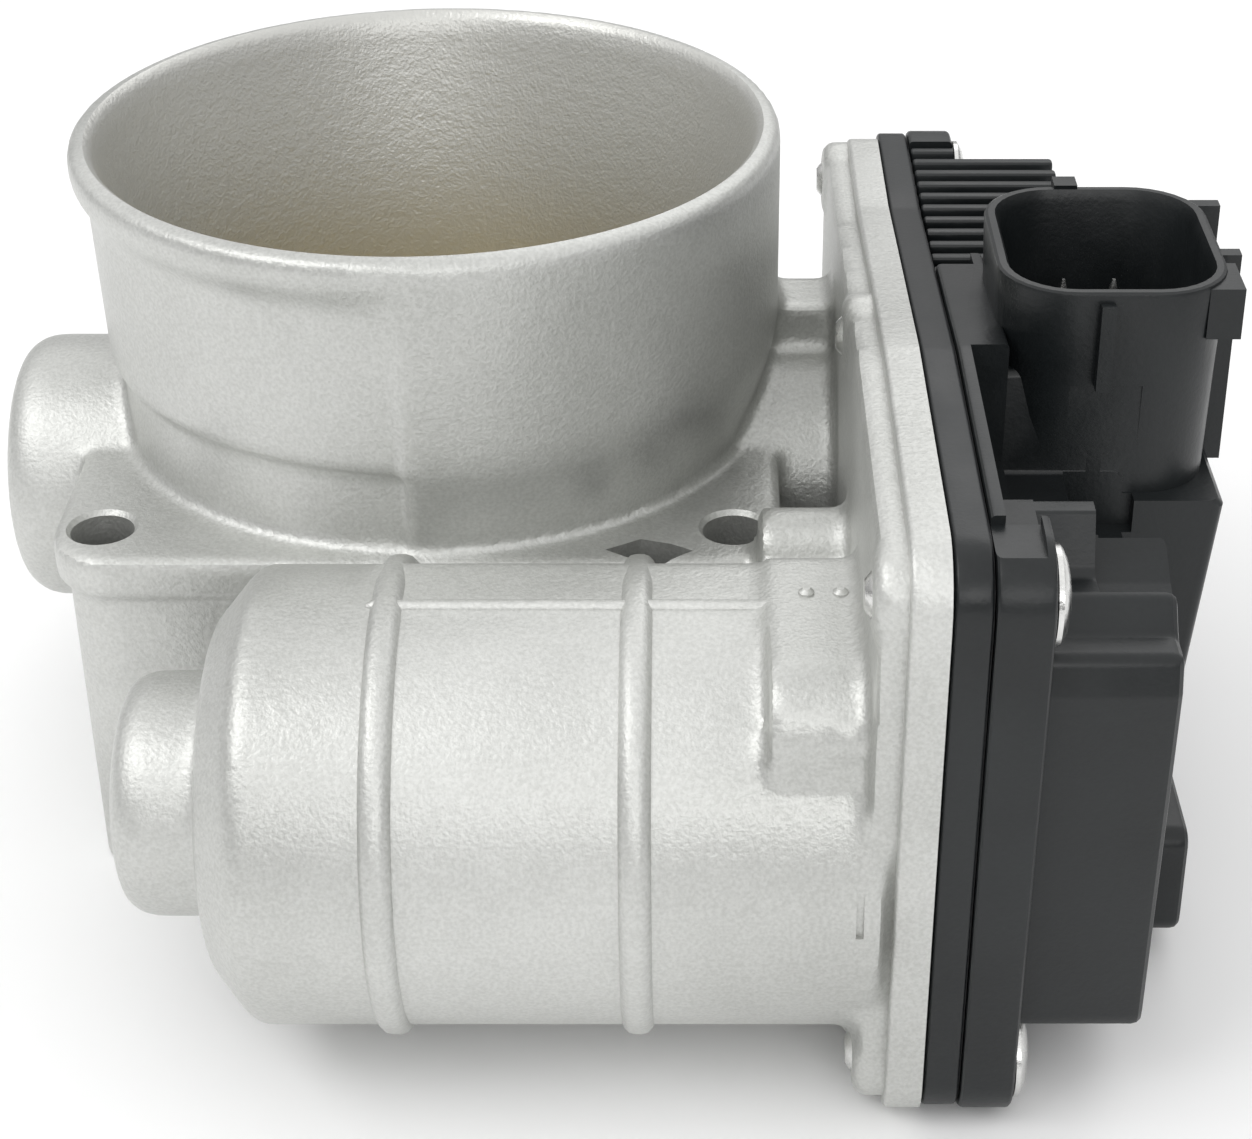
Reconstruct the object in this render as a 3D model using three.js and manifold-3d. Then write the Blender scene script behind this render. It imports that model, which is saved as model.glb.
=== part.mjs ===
// Electronic throttle body with its motor beside the bore and its gears in a case at one end of the shaft.
// Millimetres. The origin is the bore's centre on the manifold face. +Z runs up the bore to the hose end,
// +X along the throttle shaft to the gear case, and the motor lies in front, towards -Y.
import * as THREE from "three";
import { mergeVertices } from "three/addons/utils/BufferGeometryUtils.js";
import Module from "manifold-3d";

const wasm = await Module();
wasm.setup();

// ---- Driving dimensions ----

// Clearances
const runningGap = 0.08; // shafts in their bearings and bushes
const seatGap = 0.1; // pieces pressed or set into a seat
const jointGap = 0.2; // faces that are clamped together

// Bore and hose end
const bodyHeight = 73.3; // manifold face to hose rim
const boreRadius = 30;
const boreFlareStart = 42; // height where the bore starts to widen towards the rim
const rimRadius = boreRadius + 8; // outside of the hose end
const rimWall = 2;
const beadHeight = 4.5; // hose bead at the rim
const beadProud = 1.6; // how far the bead stands out of the tube under it
const waistTop = 49.3; // height of the step above the waist
const waistWall = 4.6;
const throatWall = 5; // wall where the tube meets the bolt plate

// Bolt plate and manifold flange
const plateHalfX = boreRadius + 7.9;
const plateHalfY = boreRadius + 6.8;
const plateTop = 39.8;
const plateThickness = 4.4;
const plateCorner = 7;
const flangeInset = 1.2; // the block below stands back from the bolt plate's edge
const boltX = plateHalfX - 5;
const boltY = plateHalfY - 7.3;
const boltHoleRadius = 3.3;

// Throttle shaft, low enough that the open plate stays above the manifold face
const shaftHeight = boreRadius + 1.3;
const shaftRadius = 5;
const bossRadius = 15;
const bossLength = 17.5; // left boss beyond the bore
const bossWallTop = 51.4; // top of the wall over the right boss
const bossWallFront = -0.7;
const bossWallRear = 8;

// Motor and its housing
const motorBeside = 26.5; // from the bore's wall to the motor's axis
const motorY = -(boreRadius + motorBeside);
const motorZ = shaftHeight - 6;
const housingBore = 20;
const housingWall = 2.4;
const housingRadius = housingBore + housingWall;
const housingLeft = -13;
const shoulderLength = 4.5;
const rearBossRadius = 12;
const rearBossLength = 13.6;
const ribProud = 1.3;
const ribWidth = 3;
const firstRib = -1.8;
const secondRib = 23.4;

// Gear case, from the bearing outwards
const caseBack = boreRadius + 14.4; // outer back wall of the case
const caseFloor = caseBack + 2.2;
const caseFace = caseFloor + 3.8; // machined face of the casting
const caseLip = 3.5; // thickness of the case's lip
const caseWall = 2.8;
const caseProud = 1.1; // how far the case stands in front of the motor housing
const caseRear = 32;
const caseTopFront = shaftHeight + 33.5;
const caseTopRear = shaftHeight + 29.5;
const lipProud = 2; // how far the lip stands out of the case behind it
const frameThickness = 3.5;
const frameOverhang = 2.6; // the frame and the cover reach further back than the casting
const coverLip = 5.3;
const coverWall = 2.2;
const lipShelf = 1.8; // thickness of the lip's outer shelf
const coverInset = 3; // cover body inside its own lip
const gearRoom = 1.1; // gears clear of the cover's walls

// Gears
const pinionTeeth = 10;
const idlerWheelTeeth = 42;
const idlerPinionTeeth = 12;
const sectorTeeth = 50; // teeth of the full circle that the sector is cut from
const pressureAngle = THREE.MathUtils.degToRad(25);
const addendumShare = 0.8;
const dedendumShare = 1.05;
const backlash = 0.16;
const sectorLeft = caseFloor + 6.2;
const sectorWidth = 4.2;
const wheelLeft = sectorLeft + sectorWidth + 1;
const wheelWidth = 4.6;
const coverFace = wheelLeft + wheelWidth + 8.9; // outer face of the cover

// Throttle angles, from the plate lying square across the bore
const closedAngle = THREE.MathUtils.degToRad(6);
const restAngle = THREE.MathUtils.degToRad(12);
const openAngle = THREE.MathUtils.degToRad(90);
const throttlePlateThickness = 2;
const plateEdgeGap = 0.15;

// Screws
const coverScrewRadius = 2;
const coverScrewHead = coverScrewRadius + 2;
const screwBossRadius = coverScrewRadius + 2.4;

// Connector
const socketCentreX = coverFace - 2.2;
const socketCentreY = -24;
const socketWidthX = 23.8;
const socketWidthY = 27;
const socketWall = 1.6;
const socketFloorWall = 2.4;
const socketProud = 5.2; // the connector's rim above the top of the case
const socketBottom = caseTopFront - 24.8; // where the connector's block runs out on the cover
const pinSide = 0.8;
const faceBoxFront = -39.5; // box on the cover's outer face, under the connector
const faceBoxTop = 49;
const lowerBoxFront = -48; // shorter box below it
const lowerBoxTop = 16;
const lowerBoxBottom = 2.6;

// ---- Solids from three.js geometry ----

const X = new THREE.Vector3(1, 0, 0);
const Y = new THREE.Vector3(0, 1, 0);
const Z = new THREE.Vector3(0, 0, 1);
const TAU = 2 * Math.PI;

function solidFrom(geometry) {
  const bare = geometry.clone();
  bare.deleteAttribute("normal");
  bare.deleteAttribute("uv");
  const merged = mergeVertices(bare, 1e-4);
  const found = [];
  const index = merged.index.array;
  for (let i = 0; i < index.length; i += 3) {
    const [a, b, c] = [index[i], index[i + 1], index[i + 2]];
    if (a !== b && b !== c && c !== a) found.push(a, b, c);
  }
  const vertProperties = merged.attributes.position.array;
  let triVerts = new Uint32Array(found);
  if (signedVolume(vertProperties, triVerts) < 0) triVerts = triVerts.reverse();
  return new wasm.Manifold(new wasm.Mesh({ numProp: 3, vertProperties, triVerts }));
}

function signedVolume(points, triangles) {
  const corner = (i) => new THREE.Vector3().fromArray(points, 3 * triangles[i]);
  let volume = 0;
  for (let i = 0; i < triangles.length; i += 3) {
    volume += corner(i).dot(corner(i + 1).cross(corner(i + 2)));
  }
  return volume;
}

function geometryFrom(solid) {
  const made = solid.getMesh();
  const geometry = new THREE.BufferGeometry();
  geometry.setAttribute("position", new THREE.BufferAttribute(made.vertProperties, 3));
  geometry.setIndex(new THREE.BufferAttribute(made.triVerts, 1));
  return geometry;
}

function joined(...solids) {
  return solids.reduce((whole, next) => whole.add(next));
}

function cut(solid, ...tools) {
  return tools.reduce((rest, tool) => rest.subtract(tool), solid);
}

// A box given by its lowest and highest corners.
function block(low, high) {
  const size = high.map((value, i) => value - low[i]);
  const centre = high.map((value, i) => (value + low[i]) / 2);
  return solidFrom(new THREE.BoxGeometry(...size).translate(...centre));
}

// A turned solid: the profile lists [along the axis, radius], and the axis is X or Z.
function turned(axis, profile, segments = 24) {
  const points = profile.map(([along, radius]) => new THREE.Vector2(radius, along));
  const basis = new THREE.Matrix4();
  if (axis === X) basis.makeBasis(Z, X, Y);
  if (axis === Z) basis.makeBasis(X, Z, Y.clone().negate());
  return solidFrom(new THREE.LatheGeometry(points, segments).applyMatrix4(basis));
}

function rod(axis, from, to, radius, segments = 24) {
  return turned(axis, [[from, 0], [from, radius], [to, radius], [to, 0]], segments);
}

function ring(axis, from, to, inner, outer, segments = 24) {
  return turned(axis, [[from, inner], [from, outer], [to, outer], [to, inner], [from, inner]], segments);
}

// An outline pushed along X (its points are [y, z]) or along Z (its points are [x, y]).
function pushed(axis, outline, from, to) {
  const shape = new THREE.Shape(outline.map(([u, v]) => new THREE.Vector2(u, v)));
  const geometry = new THREE.ExtrudeGeometry(shape, { depth: to - from, bevelEnabled: false });
  geometry.translate(0, 0, from);
  if (axis === X) geometry.applyMatrix4(new THREE.Matrix4().makeBasis(Y, Z, X));
  return solidFrom(geometry);
}

// A polygon with its corners rounded: each corner is [u, v, radius].
function roundedOutline(corners, steps = 3) {
  const points = [];
  corners.forEach(([u, v, radius], i) => {
    const before = corners.at(i - 1);
    const after = corners[(i + 1) % corners.length];
    const corner = new THREE.Vector2(u, v);
    const back = new THREE.Vector2(before[0], before[1]).sub(corner).normalize();
    const ahead = new THREE.Vector2(after[0], after[1]).sub(corner).normalize();
    const halfAngle = Math.acos(back.dot(ahead)) / 2;
    const reach = radius / Math.tan(halfAngle);
    const bisector = back.clone().add(ahead).normalize();
    const centre = corner.clone().addScaledVector(bisector, radius / Math.sin(halfAngle));
    const start = corner.clone().addScaledVector(back, reach).sub(centre);
    const turn = Math.sign(back.cross(ahead)) * (Math.PI - 2 * halfAngle) * -1;
    for (let step = 0; step <= steps; step += 1) {
      const spoke = start.clone().rotateAround(new THREE.Vector2(), (turn * step) / steps);
      points.push([centre.x + spoke.x, centre.y + spoke.y]);
    }
  });
  return points;
}

// The same polygon with every side moved inwards; the corners run anticlockwise.
function inset(corners, distance, leastRadius = 1.5) {
  return corners.map(([u, v, radius], i) => {
    const before = corners.at(i - 1);
    const after = corners[(i + 1) % corners.length];
    const corner = new THREE.Vector2(u, v);
    const arriving = corner.clone().sub(new THREE.Vector2(before[0], before[1])).normalize();
    const leaving = new THREE.Vector2(after[0], after[1]).sub(corner).normalize();
    const shift = distance / (1 + arriving.dot(leaving));
    const moved = [
      u + shift * (-arriving.y - leaving.y),
      v + shift * (arriving.x + leaving.x),
    ];
    return [...moved, Math.max(radius - distance, leastRadius)];
  });
}

function rectangle(lowU, lowV, highU, highV, radius) {
  return [[lowU, lowV, radius], [highU, lowV, radius], [highU, highV, radius], [lowU, highV, radius]];
}

// ---- Materials ----

function finish(colour, roughness, metalness) {
  return new THREE.MeshStandardMaterial({ color: colour, roughness, metalness });
}

const castAluminium = finish(0xc9cac5, 0.45, 0.9);
const blackPlastic = finish(0x24282a, 0.5, 0);
const blackRubber = finish(0x151515, 0.85, 0);
const zincSteel = finish(0xd5d6d2, 0.25, 1);
const bearingSteel = finish(0x9fa3a6, 0.3, 1);
const brass = finish(0xb9a463, 0.35, 1);
const gearPlastic = finish(0xd8d2c0, 0.55, 0);
const brushedSteel = finish(0x8d9194, 0.4, 1);
const copper = finish(0xb5683a, 0.4, 1);
const carbon = finish(0x2b2b2d, 0.7, 0.2);
const ferrite = finish(0x3a3a3d, 0.8, 0.1);
const boardGreen = finish(0x1f5a3a, 0.6, 0);

const throttleBody = new THREE.Group();

function place(group, name, solid, material) {
  const mesh = new THREE.Mesh(geometryFrom(solid), material);
  mesh.name = name;
  group.add(mesh);
  return mesh;
}

// ---- Gear sizes that follow from the distance between the shaft and the motor ----

const toMotor = new THREE.Vector2(motorY, motorZ - shaftHeight);
const allTeeth = pinionTeeth + idlerWheelTeeth + idlerPinionTeeth + sectorTeeth;
const gearModule = (2 * toMotor.length()) / allTeeth;
const pitchRadius = (teeth) => (gearModule * teeth) / 2;
const idlerReach = pitchRadius(idlerPinionTeeth + sectorTeeth);
const idlerSpot = toMotor.clone().setLength(idlerReach).add(new THREE.Vector2(0, shaftHeight));
const motorDirection = toMotor.angle();
const tipRadius = (teeth) => pitchRadius(teeth) + addendumShare * gearModule;
const rootRadius = (teeth) => pitchRadius(teeth) - dedendumShare * gearModule;

// ---- Outline of the gear case, as [y, z, corner radius], anticlockwise seen from +X ----

const caseFront = motorY - housingRadius - caseProud;
// The case stands level with the manifold face unless the gears need it deeper.
const underWheel = idlerSpot.y - tipRadius(idlerWheelTeeth) - coverInset - coverWall - gearRoom;
const underSector = shaftHeight - tipRadius(sectorTeeth) - caseWall - gearRoom;
const caseBottom = Math.min(0, underWheel, underSector);
const caseOutline = [
  [caseFront + 3, caseBottom, 6],
  [caseRear, caseBottom, 9],
  [caseRear, caseTopRear, 7],
  [6, caseTopRear, 12],
  [-38, caseTopFront, 12],
  [caseFront, caseTopFront, 6],
];

const screwPlaces = [
  [caseFront + 6, caseTopFront - 6.2],
  [caseFront + 8.4, caseBottom + 5.6],
  [caseRear - 5.4, caseTopRear - 5.2],
  [-22, caseTopFront - 6.6],
  [caseRear - 6.2, caseBottom + 6.6],
];

function atScrews(make) {
  return screwPlaces.map(([y, z]) => make().translate([0, y, z]));
}

// An involute gear's outline. Tooth 0 is centred on the angle `first`, and `count` teeth are cut.
function gearOutline(teeth, first, count = teeth) {
  const pitch = pitchRadius(teeth);
  const base = pitch * Math.cos(pressureAngle);
  const tip = tipRadius(teeth);
  const root = rootRadius(teeth);
  const involute = (radius) => {
    const angle = Math.acos(Math.min(1, base / radius)); // straight below the base circle
    return Math.tan(angle) - angle;
  };
  const halfAtPitch = (Math.PI * gearModule) / 2 / 2 / pitch - backlash / 4 / pitch;
  const halfAt = (radius) => halfAtPitch + involute(pitch) - involute(radius);
  const flank = [root, pitch, tip];
  const points = [];
  for (let tooth = 0; tooth < count; tooth += 1) {
    const middle = first + (tooth * TAU) / teeth;
    const add = (radius, angle) => points.push([radius * Math.cos(angle), radius * Math.sin(angle)]);
    flank.forEach((radius) => add(radius, middle - halfAt(radius)));
    flank.toReversed().forEach((radius) => add(radius, middle + halfAt(radius)));
  }
  return points;
}

// ==== Casting ====

const rimInner = rimRadius - rimWall;
const tubeRadius = rimRadius - beadProud;
const waistRadius = boreRadius + waistWall;
const throatRadius = boreRadius + throatWall;
const beadBottom = bodyHeight - beadHeight;

// The hose end is plain and thick on the right half, and beaded over a waist on the left half.
const rightTube = turned(Z, [
  [plateTop - plateThickness, 0],
  [plateTop - plateThickness, throatRadius],
  [plateTop, throatRadius],
  [waistTop + 0.5, rimRadius],
  [bodyHeight - 0.8, rimRadius],
  [bodyHeight, rimRadius - 0.7],
  [bodyHeight, 0],
], 48).intersect(block([0, -rimRadius - 1, 0], [rimRadius + 1, rimRadius + 1, bodyHeight + 1]));

const leftTube = turned(Z, [
  [plateTop - plateThickness, 0],
  [plateTop - plateThickness, throatRadius],
  [plateTop, throatRadius - 0.3],
  [waistTop, waistRadius],
  [waistTop + 0.8, tubeRadius - 0.6],
  [beadBottom - 1, tubeRadius],
  [beadBottom + 0.6, rimRadius - 0.5],
  [beadBottom + 2, rimRadius],
  [bodyHeight - 0.8, rimRadius],
  [bodyHeight, rimRadius - 0.7],
  [bodyHeight, 0],
], 48).intersect(block([-rimRadius - 1, -rimRadius - 1, 0], [0, rimRadius + 1, bodyHeight + 1]));

const plateOutline = rectangle(-plateHalfX, -plateHalfY, plateHalfX, plateHalfY, plateCorner);
const boltPlate = pushed(Z, roundedOutline(plateOutline), plateTop - plateThickness, plateTop);
const blockOutline = inset(plateOutline, flangeInset);
const manifoldBlock = pushed(Z, roundedOutline(blockOutline), 0, plateTop - plateThickness);

const bossLeft = -boreRadius - bossLength;
const shaftBosses = rod(X, bossLeft, caseBack + 1, bossRadius).translate([0, 0, shaftHeight]);
// A wall over the right boss ties the tube to the gear case.
const bossWall = block(
  [rimRadius - 4, bossWallFront, shaftHeight],
  [caseBack + 1, bossWallRear, bossWallTop],
);

const rearBossLeft = housingLeft - rearBossLength;
const motorHousing = turned(X, [
  [rearBossLeft, 0],
  [rearBossLeft, rearBossRadius - 1.5],
  [rearBossLeft + 1.5, rearBossRadius],
  [housingLeft - shoulderLength, rearBossRadius],
  [housingLeft - shoulderLength + 0.2, housingRadius - 4.5],
  [housingLeft, housingRadius],
  [firstRib - ribWidth / 2, housingRadius],
  [firstRib - ribWidth / 6, housingRadius + ribProud],
  [firstRib + ribWidth / 6, housingRadius + ribProud],
  [firstRib + ribWidth / 2, housingRadius],
  [secondRib - ribWidth / 2, housingRadius],
  [secondRib - ribWidth / 6, housingRadius + ribProud],
  [secondRib + ribWidth / 6, housingRadius + ribProud],
  [secondRib + ribWidth / 2, housingRadius],
  [caseBack + 1, housingRadius],
  [caseBack + 1, 0],
], 32).translate([0, motorY, motorZ]);

// The web that joins the motor housing to the body, flat on top beside the housing.
const webTop = motorZ + housingRadius;
const motorWeb = pushed(X, [
  [motorY + 2, motorZ - 16],
  [-plateHalfY + flangeInset + 1, motorZ - 16],
  [-plateHalfY + flangeInset + 1, plateTop - plateThickness],
  [motorY + 6, webTop + 0.2],
  [motorY - 2, webTop + 0.2],
], firstRib, caseBack + 1);

// A flat-faced block on the housing's shoulder, with a rounded screw boss behind it.
const padLeft = caseBack - 8.9;
const pad = pushed(X, roundedOutline([
  [motorY - 19, motorZ + 11.5, 0.4],
  [motorY - 5, motorZ + 11.5, 0.4],
  [motorY + 6, webTop + 0.8, 0.4],
  [motorY - 19, webTop + 0.8, 5],
], 4), padLeft, caseBack + 1);
const padBoss = rod(X, padLeft, caseBack + 1, 4.2).translate([0, -36, plateTop + 1]);

const caseBody = pushed(X, roundedOutline(inset(caseOutline, lipProud)), caseBack, caseFace - caseLip + 0.5);
const caseLipRing = pushed(X, roundedOutline(caseOutline), caseFace - caseLip, caseFace);
const screwBosses = atScrews(() => rod(X, caseFace - caseLip - 3, caseFace, screwBossRadius, 16));

const idlerPinRadius = 2.5;
const idlerBoss = rod(X, caseBack - 4, sectorLeft - 0.9, idlerPinRadius + 2.6, 16)
  .translate([0, idlerSpot.x, idlerSpot.y]);

// The hollow of the gear case, with the screw bosses and the idler boss left standing in it.
const caseHollow = cut(
  pushed(X, roundedOutline(inset(caseOutline, caseWall, 4)), caseFloor, caseFace + 1),
  ...atScrews(() => rod(X, caseFloor - 1, caseFace + 2, screwBossRadius, 16)),
  idlerBoss,
);

const bearingSeat = shaftRadius + 6;
const bearingWidth = 6;
const sealRadius = shaftRadius + 3;
const rightBearingLeft = caseFloor - bearingWidth - 0.4;
const sealWidth = 3;
const leftSeatEnd = -boreRadius - 3.5;
const bore = turned(Z, [
  [-1, 0],
  [-1, boreRadius],
  [boreFlareStart, boreRadius],
  [bodyHeight - 3, rimInner - 1],
  [bodyHeight - 0.6, rimInner - 0.4],
  [bodyHeight + 1, rimInner + 0.6],
  [bodyHeight + 1, 0],
], 48);

const shaftHole = turned(X, [
  [bossLeft - 1, 0],
  [bossLeft - 1, sealRadius + seatGap],
  [leftSeatEnd, sealRadius + seatGap],
  [leftSeatEnd, shaftRadius + 0.4],
  [rightBearingLeft - sealWidth - 0.2, shaftRadius + 0.4],
  [rightBearingLeft - sealWidth - 0.2, sealRadius + seatGap],
  [rightBearingLeft, sealRadius + seatGap],
  [rightBearingLeft, bearingSeat + seatGap],
  [caseFloor + 1, bearingSeat + seatGap],
  [caseFloor + 1, 0],
]).translate([0, 0, shaftHeight]);

const noseRadius = 8;
const housingFloor = housingLeft - 2;
const motorHole = turned(X, [
  [rearBossLeft + 2.5, 0],
  [rearBossLeft + 2.5, noseRadius + 0.5],
  [housingFloor, noseRadius + 0.5],
  [housingFloor, housingBore - 3],
  [housingFloor + 2, housingBore],
  [caseFloor + 2.4, housingBore],
  [caseFloor + 2.4, 0],
], 32).translate([0, motorY, motorZ]);

const boltHoles = [-1, 1].flatMap((sideX) => [-1, 1].map((sideY) =>
  rod(Z, -1, plateTop + 1, boltHoleRadius, 16).translate([sideX * boltX, sideY * boltY, 0])));
const coverScrewHoles = atScrews(() => rod(X, caseBack - 6, caseFace + 1, coverScrewRadius + seatGap, 16));
const idlerPinHole = rod(X, caseBack - 2, sectorLeft, idlerPinRadius + seatGap, 16)
  .translate([0, idlerSpot.x, idlerSpot.y]);

const motorScrewReach = housingBore + 3.2;
const motorScrewAngles = [140, 320].map((degrees) => THREE.MathUtils.degToRad(degrees));
const motorScrewSpots = motorScrewAngles.map((angle) => [
  motorY + motorScrewReach * Math.sin(angle),
  motorZ + motorScrewReach * Math.cos(angle),
]);
const motorScrewRadius = 1.5;
const motorScrewBosses = motorScrewSpots.map(([y, z]) =>
  rod(X, caseBack - 4, caseBack + 1, motorScrewRadius + 2.1, 16).translate([0, y, z]));
const motorScrewHoles = motorScrewSpots.map(([y, z]) =>
  rod(X, caseBack - 3, caseFace, motorScrewRadius + seatGap, 16).translate([0, y, z]));

const stopScrewSpot = [19, 14.5];
const stopScrewRadius = 2;
const stopBoss = rod(X, caseFloor - 1, caseFloor + 2, stopScrewRadius + 1.8, 20)
  .translate([0, ...stopScrewSpot]);
const stopScrewHole = rod(X, caseBack + 1, caseFloor + 4, stopScrewRadius + seatGap, 20)
  .translate([0, ...stopScrewSpot]);

const casting = cut(
  joined(
    cut(
      joined(
        rightTube, leftTube, boltPlate, manifoldBlock, shaftBosses, bossWall,
        motorHousing, motorWeb, pad, padBoss, caseBody, caseLipRing,
        ...screwBosses, ...motorScrewBosses, idlerBoss,
      ),
      caseHollow,
    ),
    stopBoss,
  ),
  bore, shaftHole, motorHole, idlerPinHole, stopScrewHole,
  ...boltHoles, ...coverScrewHoles, ...motorScrewHoles,
);
place(throttleBody, "throttle_body_casting", casting, castAluminium);

// ==== Left bearing, plug and seals ====

const shaftLeft = bossLeft + 3.9; // behind the end plug
const onShaft = (solid) => solid.translate([0, 0, shaftHeight]);
const roundShaft = (from, to, outer) => ring(X, from, to, shaftRadius + runningGap, outer);
const needleBearing = roundShaft(shaftLeft + 1, leftSeatEnd - sealWidth - 0.6, sealRadius);
place(throttleBody, "needle_bearing", onShaft(needleBearing), bearingSteel);
const leftSeal = roundShaft(leftSeatEnd - sealWidth - 0.3, leftSeatEnd - 0.3, sealRadius);
place(throttleBody, "left_shaft_seal", onShaft(leftSeal), blackRubber);
const endPlug = turned(X, [
  [bossLeft + 1.2, 0],
  [bossLeft + 1.2, sealRadius - 2.2],
  [bossLeft + 0.8, sealRadius - 1],
  [bossLeft + 0.8, sealRadius],
  [bossLeft + 3, sealRadius],
  [bossLeft + 3, sealRadius - 1],
  [bossLeft + 2.6, sealRadius - 2.2],
  [bossLeft + 2.6, 0],
]);
place(throttleBody, "bearing_end_plug", onShaft(endPlug), zincSteel);

const rightSeal = roundShaft(rightBearingLeft - sealWidth, rightBearingLeft - 0.3, sealRadius);
place(throttleBody, "right_shaft_seal", onShaft(rightSeal), blackRubber);
const bearingRight = rightBearingLeft + bearingWidth;
const innerRaceRadius = shaftRadius + seatGap + 2;
const outerRace = ring(X, rightBearingLeft + 0.2, bearingRight, bearingSeat - 2.2, bearingSeat);
place(throttleBody, "ball_bearing_outer_ring", onShaft(outerRace), bearingSteel);

// ==== Throttle shaft, plate and what turns with them ====

const throttle = new THREE.Group();
throttle.position.set(0, 0, shaftHeight);
throttleBody.add(throttle);

const shaftRight = wheelLeft + wheelWidth + 0.4;
const slotHalf = boreRadius - 1;
const screwFlatTop = shaftRadius - 1;
const plateScrewX = 9;
const plateScrewRadius = 1.5;
const plateScrewHeadRadius = 3;
const plateHoles = (radius) => [-plateScrewX, plateScrewX].map((x) =>
  rod(Z, -shaftRadius - 1, shaftRadius + 1, radius, 20).translate([x, 0, 0]));

// The plate is a slab cut by the bore when it stands at its closed angle, so its rim is bevelled.
const closedSlab = block([-rimRadius, -rimRadius, -throttlePlateThickness / 2],
  [rimRadius, rimRadius, throttlePlateThickness / 2]);
const plateDisc = rod(Z, -rimRadius, rimRadius, boreRadius - plateEdgeGap, 48)
  .rotate([THREE.MathUtils.radToDeg(closedAngle), 0, 0])
  .intersect(closedSlab);
const tilt = -restAngle;

const shaftBlank = turned(X, [
  [shaftLeft, 0],
  [shaftLeft, shaftRadius - 0.6],
  [shaftLeft + 0.6, shaftRadius],
  [shaftRight - 0.6, shaftRadius],
  [shaftRight, shaftRadius - 0.6],
  [shaftRight, 0],
]);
const plateSlot = block([-slotHalf - 1, -shaftRadius - 1, -throttlePlateThickness / 2 - seatGap],
  [slotHalf + 1, shaftRadius + 1, throttlePlateThickness / 2 + seatGap]);
const screwFlat = block(
  [-plateScrewX - 5, -shaftRadius, screwFlatTop],
  [plateScrewX + 5, shaftRadius, shaftRadius + 1],
);
const shaft = cut(shaftBlank, plateSlot, screwFlat, ...plateHoles(plateScrewRadius + seatGap));
const shaftMesh = place(throttle, "throttle_shaft", shaft, bearingSteel);
shaftMesh.rotation.x = tilt;

const throttlePlate = cut(plateDisc, ...plateHoles(plateScrewRadius + seatGap));
const plateMesh = place(throttle, "throttle_plate", throttlePlate, brass);
plateMesh.rotation.x = tilt;

const plateScrew = turned(Z, [
  [-shaftRadius + 0.6, 0],
  [-shaftRadius + 0.6, plateScrewRadius],
  [screwFlatTop + seatGap, plateScrewRadius],
  [screwFlatTop + seatGap, plateScrewHeadRadius],
  [screwFlatTop + 1, plateScrewHeadRadius],
  [screwFlatTop + 1.8, plateScrewHeadRadius - 1],
  [screwFlatTop + 1.8, 0],
], 16);
[-plateScrewX, plateScrewX].forEach((x, i) => {
  const arm = new THREE.Group();
  arm.rotation.x = tilt;
  throttle.add(arm);
  place(arm, `plate_screw_${i + 1}`, plateScrew, zincSteel).position.x = x;
});

const innerRace = ring(X, rightBearingLeft + 0.2, bearingRight, shaftRadius + seatGap, innerRaceRadius);
place(throttle, "ball_bearing_inner_ring", innerRace, bearingSteel);

// The sector keeps two spare teeth in mesh at either end of the plate's travel.
const toothStep = TAU / sectorTeeth;
const spareTeeth = 2;
const teethToClosed = Math.ceil((restAngle - closedAngle) / toothStep) + spareTeeth;
const teethToOpen = Math.ceil((openAngle - restAngle) / toothStep) + spareTeeth;
const sectorStart = motorDirection - teethToClosed * toothStep;
const sectorEnd = motorDirection + teethToOpen * toothStep;
const hubRadius = shaftRadius + 3.4;
const hubTangent = 0.6; // how far round the hub each side of the sector meets it, in radians
const onHub = (angle) => [hubRadius * Math.cos(angle), hubRadius * Math.sin(angle)];
const sectorOutline = [
  ...gearOutline(sectorTeeth, sectorStart, teethToClosed + teethToOpen + 1),
  onHub(sectorEnd + hubTangent),
  onHub(sectorStart - hubTangent),
];
const hubBore = rod(X, 0, 100, shaftRadius + seatGap);
const throttleGear = cut(
  joined(
    pushed(X, sectorOutline, sectorLeft, sectorLeft + sectorWidth),
    rod(X, sectorLeft, sectorLeft + sectorWidth, hubRadius),
  ),
  hubBore,
);
place(throttle, "throttle_gear", throttleGear, gearPlastic);

const nutLeft = sectorLeft + sectorWidth + jointGap;
const nutWidth = 3.2;
const nutCornerRadius = shaftRadius + 1.9;
const gearNut = rod(X, nutLeft, nutLeft + nutWidth, nutCornerRadius, 6)
  .subtract(rod(X, 0, 100, shaftRadius + seatGap));
place(throttle, "gear_nut", gearNut, zincSteel);
const sensorMagnetWidth = 2;
const sensorMagnetLeft = shaftRight + jointGap;
const sensorMagnet = rod(X, sensorMagnetLeft, sensorMagnetLeft + sensorMagnetWidth, shaftRadius - 1, 16);
place(throttle, "sensor_magnet", sensorMagnet, ferrite);

// ==== Return spring and default lever ====

class Helix extends THREE.Curve {
  constructor(radius, turns, start, end) {
    super();
    Object.assign(this, { radius, turns, start, end });
  }

  getPoint(t, target = new THREE.Vector3()) {
    const angle = t * this.turns * TAU;
    const along = this.start + t * (this.end - this.start);
    return target.set(along, this.radius * Math.cos(angle), this.radius * Math.sin(angle));
  }
}

function roundSection(radius, sides) {
  const shape = new THREE.Shape();
  for (let side = 0; side < sides; side += 1) {
    const angle = (side * TAU) / sides;
    const [u, v] = [radius * Math.cos(angle), radius * Math.sin(angle)];
    if (side === 0) shape.moveTo(u, v);
    else shape.lineTo(u, v);
  }
  return shape;
}

const springWire = 0.5;
const springRadius = shaftRadius + 7.4;
const springTurns = 2.25;
const leverLeft = sectorLeft - 1.7;
const returnSpring = solidFrom(new THREE.ExtrudeGeometry(roundSection(springWire, 6), {
  steps: 44,
  bevelEnabled: false,
  extrudePath: new Helix(springRadius, springTurns, caseFloor + 0.9, leverLeft - 0.8),
}));
place(throttleBody, "return_spring", onShaft(returnSpring), brushedSteel);

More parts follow.
